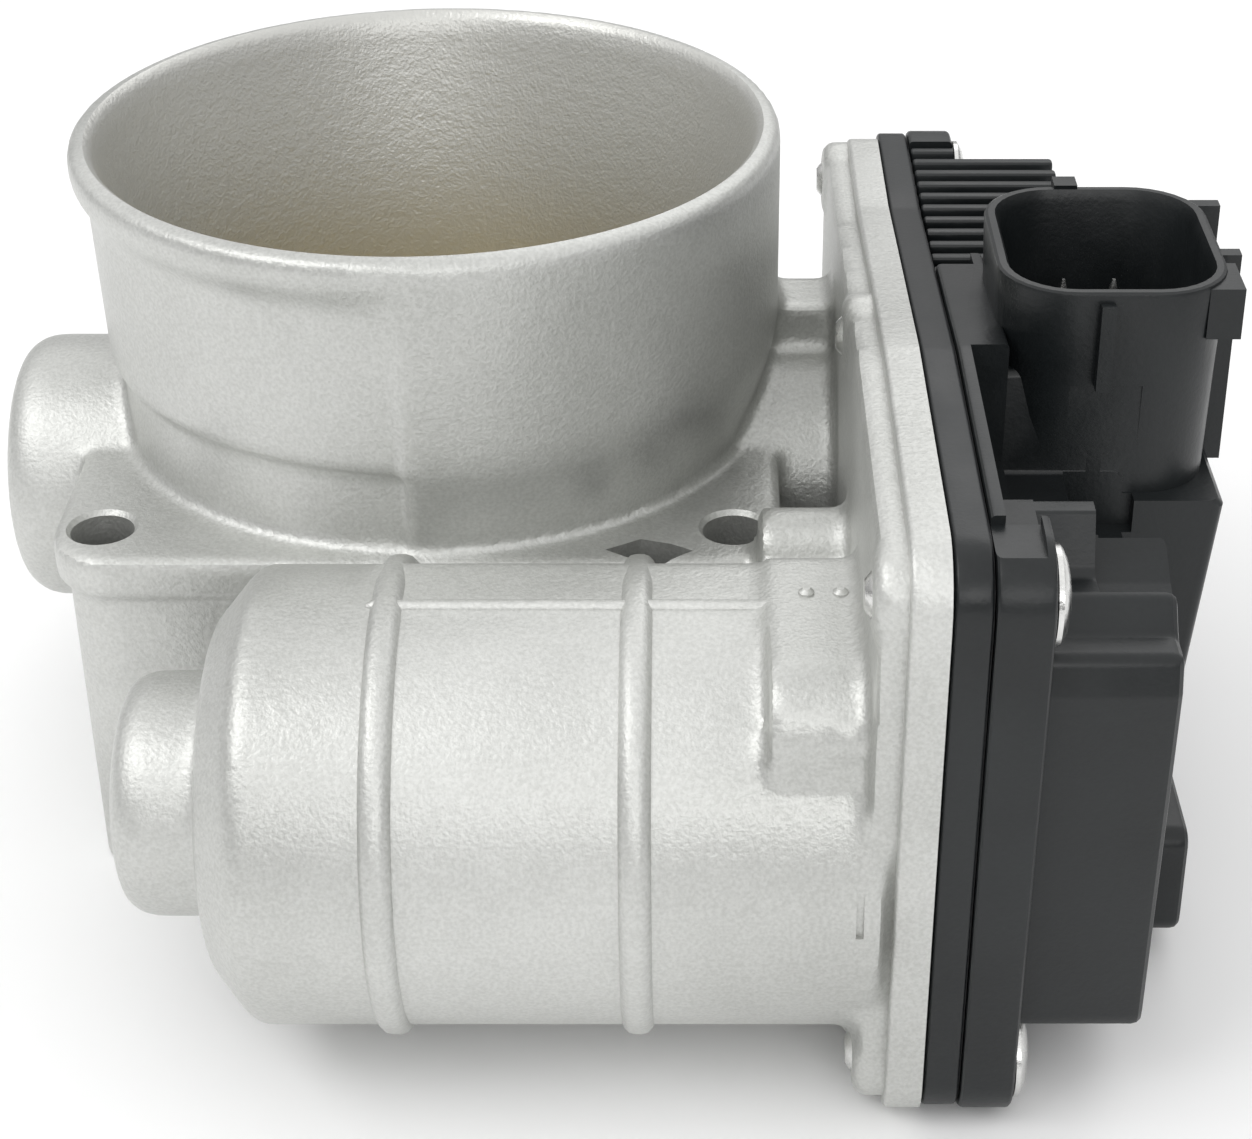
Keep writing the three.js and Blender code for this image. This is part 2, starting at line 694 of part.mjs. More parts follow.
const leverThickness = 1.2;
const leverEnd = new THREE.Vector2(stopScrewSpot[0], stopScrewSpot[1] - shaftHeight);
const leverRing = ring(X, leverLeft, leverLeft + leverThickness, shaftRadius + 0.3, shaftRadius + 4);
const leverArm = block(
  [leverLeft, shaftRadius + 2, -2.2],
  [leverLeft + leverThickness, leverEnd.length() - 1, 2.2],
).rotate([THREE.MathUtils.radToDeg(leverEnd.angle()), 0, 0]);
place(throttleBody, "default_lever", onShaft(joined(leverRing, leverArm)), brushedSteel);
const stopScrew = turned(X, [
  [caseBack + 1.2, 0],
  [caseBack + 1.2, stopScrewRadius],
  [leverLeft - 0.4, stopScrewRadius],
  [leverLeft - 0.4, 0],
], 20);
place(throttleBody, "default_stop_screw", stopScrew.translate([0, ...stopScrewSpot]), zincSteel);

// ==== Intermediate gear and its pin ====

const idlerPin = rod(X, caseBack - 1.8, coverFace - coverWall - 0.4, idlerPinRadius, 16)
  .translate([0, idlerSpot.x, idlerSpot.y]);
place(throttleBody, "idler_pin", idlerPin, bearingSteel);

const idler = new THREE.Group();
idler.position.set(0, idlerSpot.x, idlerSpot.y);
throttleBody.add(idler);
const awayFromMotor = motorDirection + Math.PI;
const smallStep = TAU / idlerPinionTeeth;
const idlerPinion = pushed(X, gearOutline(idlerPinionTeeth, awayFromMotor + smallStep / 2),
  sectorLeft - 0.4, wheelLeft + 1);
const wheel = pushed(X, gearOutline(idlerWheelTeeth, motorDirection), wheelLeft, wheelLeft + wheelWidth);
const idlerHub = rod(X, wheelLeft, wheelLeft + wheelWidth + 1.4, idlerPinRadius + 2.4, 16);
const intermediateGear = cut(
  joined(idlerPinion, wheel, idlerHub),
  rod(X, 0, 100, idlerPinRadius + runningGap, 16),
);
place(idler, "intermediate_gear", intermediateGear, gearPlastic);

// ==== Motor: what turns ====

const rotor = new THREE.Group();
rotor.position.set(0, motorY, motorZ);
throttleBody.add(rotor);
const motorShaftRadius = 2;
const canRadius = housingBore - 0.4;
const canWall = 1.6;
const canLeft = housingFloor + 2.4;
const canRight = caseFloor - 0.2;
const noseLeft = rearBossLeft + 4;
const pinionRight = wheelLeft + wheelWidth + 0.4;
place(rotor, "motor_shaft", rod(X, noseLeft + 1.8, pinionRight + 0.6, motorShaftRadius, 16), bearingSteel);

const onMotorShaft = rod(X, -100, 100, motorShaftRadius + seatGap, 16);
const pinionStep = TAU / pinionTeeth;
const motorPinion = pushed(X, gearOutline(pinionTeeth, awayFromMotor + pinionStep / 2),
  wheelLeft - 0.4, pinionRight).subtract(onMotorShaft);
place(rotor, "motor_pinion", motorPinion, brass);

const magnetWall = 3.5;
const airGap = 0.8;
const magnetOuter = canRadius - canWall - 3 * seatGap;
const coreRadius = magnetOuter - magnetWall - airGap;
const coreLeft = -5;
const coreRight = 26;
const slotCount = 8;
const slotReach = coreRadius - 4;
const slotRadius = 2.2;
const aroundAxis = (make) => Array.from({ length: slotCount }, (_, i) =>
  make().rotate([(360 * (i + 0.5)) / slotCount, 0, 0]));
const slots = aroundAxis(() => joined(
  rod(X, coreLeft - 1, coreRight + 1, slotRadius, 8).translate([0, slotReach, 0]),
  block([coreLeft - 1, slotReach, -0.7], [coreRight + 1, coreRadius + 1, 0.7]),
));
const armatureCore = cut(rod(X, coreLeft, coreRight, coreRadius), ...slots, onMotorShaft);
place(rotor, "armature_core", armatureCore, brushedSteel);

const windingEnd = 4;
const coils = aroundAxis(() => rod(X, coreLeft - 1, coreRight + 1, slotRadius - 0.3, 8)
  .translate([0, slotReach, 0]));
const armatureWinding = joined(
  ring(X, coreLeft - windingEnd, coreLeft - 0.3, motorShaftRadius + 1.4, slotReach + slotRadius),
  ring(X, coreRight + 0.3, coreRight + windingEnd, motorShaftRadius + 1.4, slotReach + slotRadius),
  ...coils,
);
place(rotor, "armature_winding", armatureWinding, copper);

const commutatorLeft = coreRight + windingEnd + 0.5;
const commutatorRight = commutatorLeft + 5.5;
const commutatorRadius = 5;
const commutator = ring(X, commutatorLeft, commutatorRight, motorShaftRadius + seatGap, commutatorRadius);
place(rotor, "commutator", commutator, copper);

// ==== Motor: what stands still ====

const atMotor = (solid) => solid.translate([0, motorY, motorZ]);
const noseBore = motorShaftRadius + 2.6;
const motorCan = turned(X, [
  [noseLeft, 0],
  [noseLeft, noseRadius],
  [canLeft, noseRadius],
  [canLeft, canRadius - 2],
  [canLeft + 2, canRadius],
  [canRight, canRadius],
  [canRight, canRadius - canWall],
  [canLeft + canWall + 1, canRadius - canWall],
  [canLeft + canWall, noseBore + 1],
  [canLeft + canWall, noseBore],
  [noseLeft + canWall, noseBore],
  [noseLeft + canWall, 0],
]);
place(throttleBody, "motor_can", atMotor(motorCan), brushedSteel);

const roundRotor = (from, to, outer) => ring(X, from, to, motorShaftRadius + runningGap, outer, 16);
const rearBush = roundRotor(noseLeft + canWall + 0.3, canLeft + canWall, noseBore - seatGap);
place(throttleBody, "motor_rear_bush", atMotor(rearBush), brass);
const wavePreload = ring(X, rearBossLeft + 2.9, noseLeft - 0.2, noseRadius - 3, noseRadius - 0.4);
place(throttleBody, "motor_wave_spring", atMotor(wavePreload), brushedSteel);

const magnetRing = ring(X, coreLeft - 2, coreRight + 2, coreRadius + airGap, magnetOuter, 32);
const magnetSpan = block([-100, -100, 4.5], [100, 100, 100]);
["upper", "lower"].forEach((side, i) => {
  const half = magnetRing.intersect(magnetSpan.rotate([180 * i, 0, 0]));
  place(throttleBody, `motor_magnet_${side}`, atMotor(half), ferrite);
});

const bracketThickness = 1.6;
const bracketLeft = caseFloor + 0.2;
const bracketRight = bracketLeft + bracketThickness;
const earRadius = 3.4;
const atEar = (angle, solid) =>
  solid.translate([0, motorScrewReach * Math.sin(angle), motorScrewReach * Math.cos(angle)]);
const ears = motorScrewAngles.map((angle) => joined(
  atEar(angle, rod(X, bracketLeft, bracketRight, earRadius, 16)),
  block([bracketLeft, -3, housingBore - 6], [bracketRight, 3, motorScrewReach])
    .rotate([-THREE.MathUtils.radToDeg(angle), 0, 0]),
));
const earHoles = motorScrewAngles.map((angle) =>
  atEar(angle, rod(X, bracketLeft - 1, bracketRight + 1, motorScrewRadius + seatGap, 16)));
const bushRadius = 5;
const contactReach = canRadius - canWall - 5; // from the motor's axis to each contact blade
const contactSlots = () => [-1, 1].map((side) =>
  block([0, side * contactReach - 2, -1.2], [100, side * contactReach + 2, 1.2]));
const endBracket = cut(
  joined(rod(X, bracketLeft, bracketRight, canRadius), ...ears),
  ...earHoles,
  ...contactSlots(),
  rod(X, 0, 100, bushRadius + seatGap, 16),
);
place(throttleBody, "motor_end_bracket", atMotor(endBracket), brushedSteel);
const frontBush = roundRotor(bracketLeft - 1.4, bracketRight + 2.4, bushRadius);
place(throttleBody, "motor_front_bush", atMotor(frontBush), brass);

const holderLeft = commutatorRight + 0.6;
const brushHolder = cut(
  ring(X, holderLeft, bracketLeft - 0.4, bushRadius + 1, canRadius - canWall - 0.3),
  ...contactSlots(),
);
place(throttleBody, "brush_holder", atMotor(brushHolder), blackPlastic);
["front", "rear"].forEach((side, i) => {
  const brush = block(
    [commutatorLeft + 0.8, commutatorRadius + 0.15, -2],
    [commutatorRight - 0.8, commutatorRadius + 7, 2],
  ).rotate([180 * (1 - i), 0, 0]);
  place(throttleBody, `motor_brush_${side}`, atMotor(brush), carbon);
});

const motorScrew = turned(X, [
  [caseBack - 2, 0],
  [caseBack - 2, motorScrewRadius],
  [bracketRight + 0.1, motorScrewRadius],
  [bracketRight + 0.1, 2.9],
  [bracketRight + 1.4, 2.9],
  [bracketRight + 2, 2.1],
  [bracketRight + 2, 0],
], 16);
motorScrewSpots.forEach(([y, z], i) => {
  place(throttleBody, `motor_screw_${i + 1}`, motorScrew, zincSteel).position.set(0, y, z);
});

// ==== Gear case frame, seal and cover ====

const frameLeft = caseFace + jointGap;
const frameRight = caseFace + frameThickness;
const lipOutline = caseOutline.map(([y, z, radius]) => [y === caseRear ? y + frameOverhang : y, z, radius]);
const hollowOutline = roundedOutline(inset(caseOutline, caseWall, 4));
const screwPillars = (from, to) => atScrews(() => rod(X, from, to, screwBossRadius, 16));
const screwHoles = (from, to) => atScrews(() => rod(X, from, to, coverScrewRadius + seatGap, 16));
const caseRim = (from, to, shrink = 0) => {
  const whole = pushed(X, roundedOutline(inset(lipOutline, shrink)), from, to);
  const hollowed = cut(whole, pushed(X, hollowOutline, from - 1, to + 1));
  const pillars = screwPillars(from, to).map((pillar) => pillar.intersect(whole));
  return cut(joined(hollowed, ...pillars), ...screwHoles(from - 1, to + 1));
};
const sealWidthInCase = 1.2;
const sealDepth = 1;
const sealOuter = roundedOutline(inset(caseOutline, 0.8, 4));
const sealInner = roundedOutline(inset(caseOutline, 0.8 + sealWidthInCase, 4));
const sealGroove = cut(
  pushed(X, roundedOutline(inset(caseOutline, 0.7, 4)), frameRight - sealDepth, frameRight + 1),
  pushed(
    X, roundedOutline(inset(caseOutline, 0.9 + sealWidthInCase, 4)),
    frameRight - sealDepth - 1, frameRight + 2,
  ),
);
const gearCaseFrame = caseRim(frameLeft, frameRight, 0.3).subtract(sealGroove);
place(throttleBody, "gear_case_frame", gearCaseFrame, blackPlastic);
const coverSeal = cut(
  pushed(X, sealOuter, frameRight - sealDepth + 0.1, frameRight + jointGap / 2),
  pushed(X, sealInner, frameRight - sealDepth - 1, frameRight + 1),
);
place(throttleBody, "cover_seal", coverSeal, blackRubber);

const coverLeft = frameRight + jointGap;
const lipRight = frameRight + coverLip;
const coverBodyOutline = [
  [caseFront + 6.5, caseBottom + 9, 4],
  [caseFront + 24, caseBottom + coverInset, 8],
  [caseRear - coverInset, caseBottom + coverInset, 6],
  [caseRear - coverInset, caseTopRear - coverInset, 4],
  [6, caseTopRear - coverInset, 9],
  [-38, caseTopFront - coverInset, 9],
  [caseFront + 4.4, caseTopFront - coverInset, 4],
];
const coverShell = cut(
  pushed(X, roundedOutline(coverBodyOutline), coverLeft, coverFace),
  pushed(X, roundedOutline(inset(coverBodyOutline, coverWall, 3)), coverLeft - 1, coverFace - coverWall),
);
// The connector's open socket stands on a block at the top of the cover.
const socketLow = [socketCentreX - socketWidthX / 2, socketCentreY - socketWidthY / 2];
const socketHigh = [socketCentreX + socketWidthX / 2, socketCentreY + socketWidthY / 2];
const socketOutline = rectangle(...socketLow, ...socketHigh, 5.5);
const wheelTop = idlerSpot.y + tipRadius(idlerWheelTeeth);
const socketFloor = wheelTop + 2 * gearRoom + socketFloorWall;
const socketTop = caseTopFront + socketProud;

// Scallops let the screw heads sit on the lip, clear of the cover's wall.
const wellRadius = coverScrewHead + 0.8;
const headWells = atScrews(() => rod(X, lipRight, coverFace + 1, wellRadius, 16));
const wellWalls = atScrews(() => rod(X, coverLeft, coverFace - coverWall, wellRadius + coverWall, 16))
  .map((wall) => wall.intersect(pushed(X, roundedOutline(coverBodyOutline), coverLeft, coverFace)));
const coverHollow = cut(
  joined(
    pushed(X, roundedOutline(inset(coverBodyOutline, coverWall, 3)), coverLeft - 1, coverFace - coverWall),
    pushed(X, hollowOutline, coverLeft - 1, lipRight - lipShelf),
  ),
  ...wellWalls,
  pushed(Z, roundedOutline(socketOutline), socketFloor - socketFloorWall, socketTop),
);
const coverLipRing = caseRim(coverLeft, lipRight);

// Fins on top of the cover, behind the connector.
const finCount = 11;
const finPitch = 3.4;
const finHalf = 0.8;
const finRear = caseRear - 6;
const fins = Array.from({ length: finCount }, (_, i) => {
  const y = finRear - i * finPitch;
  return block(
    [frameRight + 1.2, y - finHalf, caseTopRear - coverInset - 2],
    [coverFace - 0.6, y + finHalf, caseTopRear - 0.4],
  );
});

const socketBlock = pushed(Z, roundedOutline(socketOutline), socketBottom, socketTop);
const socketHollow = pushed(Z, roundedOutline(inset(socketOutline, socketWall)), socketFloor, socketTop + 1);
const socketRib = block(
  [socketHigh[0] - 13.4, socketLow[1] - 1.4, socketBottom],
  [socketHigh[0] - 11.9, socketLow[1] + 1, socketTop - 1],
);
const latch = block(
  [socketHigh[0] - 1.2, socketLow[1] + 3, socketTop - 6],
  [socketHigh[0] + 1.4, socketLow[1] + 10, socketTop - 0.5],
);
const sideFins = [socketHigh[1] - 3, socketHigh[1] - 15.5].map((y) =>
  block(
    [socketHigh[0] - 1, y - finHalf, faceBoxTop - 1],
    [socketHigh[0] + 2, y + finHalf, socketTop - 0.6],
  ));

// Two boxes on the cover's outer face, one under the connector and a deeper-set one below it.
const faceBoxOutline = rectangle(faceBoxFront, lowerBoxTop - 2, socketHigh[1], faceBoxTop, 1.5);
const faceBox = pushed(X, roundedOutline(faceBoxOutline), coverFace - 1, socketHigh[0] - 0.4);
const lowerBoxOutline = rectangle(lowerBoxFront, lowerBoxBottom, socketHigh[1] + 4, lowerBoxTop, 1.5);
const lowerBox = pushed(X, roundedOutline(lowerBoxOutline), coverFace - 1, socketHigh[0] - 2);

const pinHalf = pinSide / 2;
const pinSeat = new THREE.Group();
pinSeat.position.set(socketCentreX, socketCentreY, 0);
throttleBody.add(pinSeat);
const pinRowReach = 2.6;
const pinPitch = 4.6;
const pinPlaces = [-1, 1].flatMap((row) =>
  [-1, 0, 1].map((column) => [row * pinRowReach, column * pinPitch]));
const pinHoles = pinPlaces.map(([x, y]) => {
  const half = pinHalf + seatGap;
  return block([socketCentreX + x - half, socketCentreY + y - half, socketFloor - 6],
    [socketCentreX + x + half, socketCentreY + y + half, socketFloor + 1]);
});

const pinBoss = rod(X, coverFace - coverWall - 3, coverFace - coverWall + 0.5, idlerPinRadius + 2.4, 16)
  .translate([0, idlerSpot.x, idlerSpot.y]);
const pinBossHole = rod(X, 0, coverFace - coverWall, idlerPinRadius + seatGap, 16)
  .translate([0, idlerSpot.x, idlerSpot.y]);
const cover = cut(
  joined(
    cut(
      joined(
        coverShell, ...wellWalls, coverLipRing, ...fins,
        socketBlock, socketRib, latch, ...sideFins, faceBox, lowerBox,
      ),
      coverHollow,
    ),
    pinBoss,
  ),
  socketHollow, ...headWells, ...screwHoles(coverLeft - 1, lipRight + 1), ...pinHoles, pinBossHole,
);
place(throttleBody, "gear_cover", cover, blackPlastic);

const terminalPin = block([-pinHalf, -pinHalf, socketFloor - 5.6], [pinHalf, pinHalf, socketFloor + 9]);
pinPlaces.forEach(([x, y], i) => {
  place(pinSeat, `terminal_pin_${i + 1}`, terminalPin, zincSteel).position.set(x, y, 0);
});

const coverScrew = turned(X, [
  [caseFace - caseLip - 3.6, 0],
  [caseFace - caseLip - 3.6, coverScrewRadius - 0.5],
  [caseFace - caseLip - 3.1, coverScrewRadius],
  [lipRight + 0.1, coverScrewRadius],
  [lipRight + 0.1, coverScrewHead],
  [lipRight + 1.4, coverScrewHead],
  [lipRight + 2.8, coverScrewHead - 1.4],
  [lipRight + 2.8, 1.2],
  [lipRight + 1.4, 1.2],
  [lipRight + 1.4, 0],
], 16);
screwPlaces.forEach(([y, z], i) => {
  place(throttleBody, `cover_screw_${i + 1}`, coverScrew, zincSteel).position.set(0, y, z);
});

// ==== Position sensor and motor contacts ====

const boardRight = coverFace - coverWall - 0.3;
const sensorBoard = pushed(X, roundedOutline(rectangle(-9, shaftHeight - 12, 12, shaftHeight + 12, 2), 3),
  boardRight - 1.4, boardRight);
place(throttleBody, "sensor_board", sensorBoard, boardGreen);

["front", "rear"].forEach((side, i) => {
  const y = motorY + (i === 0 ? -contactReach : contactReach);
  const blade = block([holderLeft + 1, y - 1.5, motorZ - 0.4], [wheelLeft - 1, y + 1.5, motorZ + 0.4]);
  place(throttleBody, `motor_contact_${side}`, blade, brass);
});

export default throttleBody;
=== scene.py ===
import math

import bmesh
import bpy
from mathutils import Matrix, Vector


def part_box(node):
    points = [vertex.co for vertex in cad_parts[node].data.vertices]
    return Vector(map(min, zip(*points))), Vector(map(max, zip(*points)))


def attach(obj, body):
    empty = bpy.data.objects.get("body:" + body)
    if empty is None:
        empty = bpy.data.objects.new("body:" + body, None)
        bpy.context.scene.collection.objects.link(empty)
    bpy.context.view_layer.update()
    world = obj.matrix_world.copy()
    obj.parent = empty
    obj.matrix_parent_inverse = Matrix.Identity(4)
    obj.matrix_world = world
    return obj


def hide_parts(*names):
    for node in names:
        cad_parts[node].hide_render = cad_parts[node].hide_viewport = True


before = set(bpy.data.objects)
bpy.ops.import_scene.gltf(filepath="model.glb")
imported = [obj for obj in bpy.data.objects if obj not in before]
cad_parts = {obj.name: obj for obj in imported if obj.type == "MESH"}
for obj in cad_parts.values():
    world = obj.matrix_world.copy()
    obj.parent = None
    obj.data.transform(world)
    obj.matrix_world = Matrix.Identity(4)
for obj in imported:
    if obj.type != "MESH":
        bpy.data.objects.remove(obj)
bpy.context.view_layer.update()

scene = bpy.context.scene

# ==== Studio ====
# A pale sweep of floor, a bright even sky, and three soft lamps: one high on the left, one in front
# and one behind the bore. The camera looks down at the motor side.

MM = 0.001


def new_piece(name, mesh):
    piece = bpy.data.objects.new(name, mesh)
    scene.collection.objects.link(piece)
    return piece


camera_data = bpy.data.cameras.new("camera")
camera_data.lens = 74.65
camera_data.sensor_width = 36
camera_data.shift_x = -0.056
camera_data.clip_start = 0.01
camera = new_piece("camera", camera_data)
camera.location = (0.02893, -0.2640, 0.1741)
camera.rotation_euler = (math.radians(59.26), 0, 0)
scene.camera = camera

FLOOR_RADIUS = 3.0
floor_mesh = bpy.data.meshes.new("floor")
floor_mesh.from_pydata(
    [(x * FLOOR_RADIUS, y * FLOOR_RADIUS, -0.0002) for x, y in ((-1, -1), (1, -1), (1, 1), (-1, 1))],
    [], [(0, 1, 2, 3)])
floor = new_piece("floor", floor_mesh)
floor_finish = bpy.data.materials.new("pale_floor")
floor_finish.use_nodes = True
floor_shader = floor_finish.node_tree.nodes["Principled BSDF"]
floor_shader.inputs["Base Color"].default_value = (0.93, 0.93, 0.93, 1)
floor_shader.inputs["Roughness"].default_value = 0.9
floor_shader.inputs["Specular IOR Level"].default_value = 0.1
floor_mesh.materials.append(floor_finish)

sky = bpy.data.worlds.new("studio")
sky.use_nodes = True
sky_nodes, sky_links = sky.node_tree.nodes, sky.node_tree.links
sky_place = sky_nodes.new("ShaderNodeTexCoord")
sky_height = sky_nodes.new("ShaderNodeSeparateXYZ")
sky_fade = sky_nodes.new("ShaderNodeValToRGB")
sky_fade.color_ramp.elements[0].color = (0.14, 0.14, 0.14, 1)
sky_fade.color_ramp.elements[1].position = 0.6
sky_fade.color_ramp.elements.new(0.2).color = (0.46, 0.46, 0.46, 1)
sky_links.new(sky_place.outputs["Generated"], sky_height.inputs["Vector"])
sky_links.new(sky_height.outputs["Z"], sky_fade.inputs["Fac"])
sky_links.new(sky_fade.outputs["Color"], sky_nodes["Background"].inputs["Color"])
sky_nodes["Background"].inputs["Strength"].default_value = 1.08
scene.world = sky
scene.view_settings.view_transform = "Standard"


def soft_lamp(name, place, aim, size, power):
    lamp = bpy.data.lights.new(name, "AREA")
    lamp.shape = "RECTANGLE"
    lamp.size, lamp.size_y = size
    lamp.energy = power
    holder = new_piece(name, lamp)
    holder.location = place
    holder.rotation_euler = (Vector(aim) - Vector(place)).to_track_quat("-Z", "Y").to_euler()
    return holder


soft_lamp("lamp_high_left", (-0.35, -0.25, 0.55), (0, -0.03, 0.03), (0.45, 0.3), 1.1)
soft_lamp("lamp_front", (0.12, -0.75, 0.35), (0.02, 0, 0.03), (0.5, 0.25), 0.9)
soft_lamp("lamp_behind", (0.2, 0.5, 0.5), (0, 0, 0.04), (0.5, 0.3), 0.5)

# ==== Finishes ====
# Every surface has its own shallow grain and a slow unevenness of colour and gloss. The two effects
# are groups, and each finish places them with its own sizes and strengths.


def mottle_group():
    """Slow unevenness between 0 and 1, for colour and gloss."""
    tree = bpy.data.node_groups.new("mottle", "ShaderNodeTree")
    for label, value in (("Scale", 60.0), ("Detail", 4.0), ("Low", 0.35), ("High", 0.65)):
        tree.interface.new_socket(label, in_out="INPUT", socket_type="NodeSocketFloat").default_value = value
    tree.interface.new_socket("Vector", in_out="INPUT", socket_type="NodeSocketVector")
    tree.interface.new_socket("Amount", in_out="OUTPUT", socket_type="NodeSocketFloat")
    nodes, links = tree.nodes, tree.links
    given = nodes.new("NodeGroupInput")
    noise = nodes.new("ShaderNodeTexNoise")
    spread = nodes.new("ShaderNodeMapRange")
    out = nodes.new("NodeGroupOutput")
    links.new(given.outputs["Vector"], noise.inputs["Vector"])
    links.new(given.outputs["Scale"], noise.inputs["Scale"])
    links.new(given.outputs["Detail"], noise.inputs["Detail"])
    links.new(noise.outputs["Fac"], spread.inputs["Value"])
    links.new(given.outputs["Low"], spread.inputs["From Min"])
    links.new(given.outputs["High"], spread.inputs["From Max"])
    links.new(spread.outputs["Result"], out.inputs["Amount"])
    return tree


def grain_group():
    """Fine raised grain over a coarser ripple, as a normal."""
    tree = bpy.data.node_groups.new("grain", "ShaderNodeTree")
    for label, value in (("Scale", 2500.0), ("Strength", 0.2), ("Ripple scale", 300.0), ("Ripple", 0.1)):
        tree.interface.new_socket(label, in_out="INPUT", socket_type="NodeSocketFloat").default_value = value
    tree.interface.new_socket("Vector", in_out="INPUT", socket_type="NodeSocketVector")
    tree.interface.new_socket("Normal", in_out="OUTPUT", socket_type="NodeSocketVector")
    nodes, links = tree.nodes, tree.links
    given = nodes.new("NodeGroupInput")
    out = nodes.new("NodeGroupOutput")
    previous = None
    for scale_name, strength_name, depth in (
            ("Ripple scale", "Ripple", 0.0006), ("Scale", "Strength", 0.0001)):
        noise = nodes.new("ShaderNodeTexNoise")
        noise.inputs["Detail"].default_value = 3
        bump = nodes.new("ShaderNodeBump")
        bump.inputs["Distance"].default_value = depth
        links.new(given.outputs["Vector"], noise.inputs["Vector"])
        links.new(given.outputs[scale_name], noise.inputs["Scale"])
        links.new(noise.outputs["Fac"], bump.inputs["Height"])
        links.new(given.outputs[strength_name], bump.inputs["Strength"])
        if previous:
            links.new(previous.outputs["Normal"], bump.inputs["Normal"])
        previous = bump
    links.new(previous.outputs["Normal"], out.inputs["Normal"])
    return tree


mottle, grain = mottle_group(), grain_group()


def finish(name, dark, light, rough, metallic=0.0, patch=60.0, speck=2500.0, raised=0.2,
           ripple_scale=300.0, ripple=0.1, stretch=(1, 1, 1), specular=0.5, fleck=0.35):
    """A surface between two colours and two roughnesses, with its own grain."""
    made = bpy.data.materials.new(name)
    made.use_nodes = True
    nodes, links = made.node_tree.nodes, made.node_tree.links
    shader = nodes["Principled BSDF"]
    shader.inputs["Metallic"].default_value = metallic
    shader.inputs["Specular IOR Level"].default_value = specular
    where = nodes.new("ShaderNodeTexCoord")
    mapping = nodes.new("ShaderNodeMapping")
    mapping.inputs["Scale"].default_value = stretch
    links.new(where.outputs["Object"], mapping.inputs["Vector"])
    slow = nodes.new("ShaderNodeGroup")
    slow.node_tree = mottle
    slow.inputs["Scale"].default_value = patch
    links.new(mapping.outputs["Vector"], slow.inputs["Vector"])
    tint = nodes.new("ShaderNodeMix")
    tint.data_type = "RGBA"
    tint.inputs["A"].default_value = (*dark, 1)
    tint.inputs["B"].default_value = (*light, 1)
    fine = nodes.new("ShaderNodeGroup")
    fine.node_tree = mottle
    fine.inputs["Scale"].default_value = speck
    links.new(mapping.outputs["Vector"], fine.inputs["Vector"])
    blend = nodes.new("ShaderNodeMix")
    blend.inputs["Factor"].default_value = fleck
    links.new(slow.outputs["Amount"], blend.inputs["A"])
    links.new(fine.outputs["Amount"], blend.inputs["B"])
    links.new(blend.outputs["Result"], tint.inputs["Factor"])
    links.new(tint.outputs["Result"], shader.inputs["Base Color"])
    gloss = nodes.new("ShaderNodeMapRange")
    gloss.inputs["To Min"].default_value = rough[0]
    gloss.inputs["To Max"].default_value = rough[1]
    links.new(slow.outputs["Amount"], gloss.inputs["Value"])
    links.new(gloss.outputs["Result"], shader.inputs["Roughness"])
    raise_grain = nodes.new("ShaderNodeGroup")
    raise_grain.node_tree = grain
    for label, value in (
            ("Scale", speck), ("Strength", raised), ("Ripple scale", ripple_scale), ("Ripple", ripple)):
        raise_grain.inputs[label].default_value = value
    links.new(mapping.outputs["Vector"], raise_grain.inputs["Vector"])
    links.new(raise_grain.outputs["Normal"], shader.inputs["Normal"])
    return made


def wear(piece, finish_made, body="body"):
    """Give a finished piece its surface and the body that it moves with."""
    piece.data.materials.clear()
    piece.data.materials.append(finish_made)
    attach(piece, body)
    return piece


# ==== Casting ====
# One blasted aluminium die casting: the bore and its hose end, the bolt plate and the block under it, the
# shaft's bosses, the motor housing and the back half of the gear case. The case face, the manifold face,
# the bore and the holes are machined into it afterwards.

BODY_LOW, BODY_HIGH = (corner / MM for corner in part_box("throttle_body_casting"))
RIM_TOP = BODY_HIGH.z
CASE_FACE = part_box("gear_case_frame")[0].x / MM - 0.2
SHAFT_Z = (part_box("throttle_shaft")[0].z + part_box("throttle_shaft")[1].z) / 2 / MM
MOTOR_Y = (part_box("motor_can")[0].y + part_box("motor_can")[1].y) / 2 / MM
MOTOR_Z = (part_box("motor_can")[0].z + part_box("motor_can")[1].z) / 2 / MM


def at(axis, along, outline):
    """A ring of points: a flat outline placed across X or Z."""
    if axis == "X":
        return [Vector((along, u, v)) for u, v in outline]
    return [Vector((u, v, along)) for u, v in outline]


def circle(radius, centre=(0, 0), count=96, start=0.0, sweep=math.tau):
    steps = count if sweep == math.tau else count + 1
    return [(centre[0] + radius * math.cos(start + sweep * i / count),
             centre[1] + radius * math.sin(start + sweep * i / count)) for i in range(steps)]


def rounded(corners, steps=8):
    """A polygon with its corners rounded: each corner is (u, v, radius), anticlockwise."""
    points = []
    for i, (u, v, radius) in enumerate(corners):
        here = Vector((u, v))
        back = (Vector(corners[i - 1][:2]) - here).normalized()
        ahead = (Vector(corners[(i + 1) % len(corners)][:2]) - here).normalized()
        half = math.acos(max(-1, min(1, back.dot(ahead)))) / 2
        if radius <= 0 or half > math.radians(89.5):
            points.append((u, v))
            continue
        middle = here + (back + ahead).normalized() * radius / math.sin(half)
        start = here + back * radius / math.tan(half) - middle
        end = here + ahead * radius / math.tan(half) - middle
        turn = start.angle_signed(end)
        for k in range(steps + 1):
            angle = -turn * k / steps
            points.append((middle.x + start.x * math.cos(angle) - start.y * math.sin(angle),
                           middle.y + start.x * math.sin(angle) + start.y * math.cos(angle)))
    return points


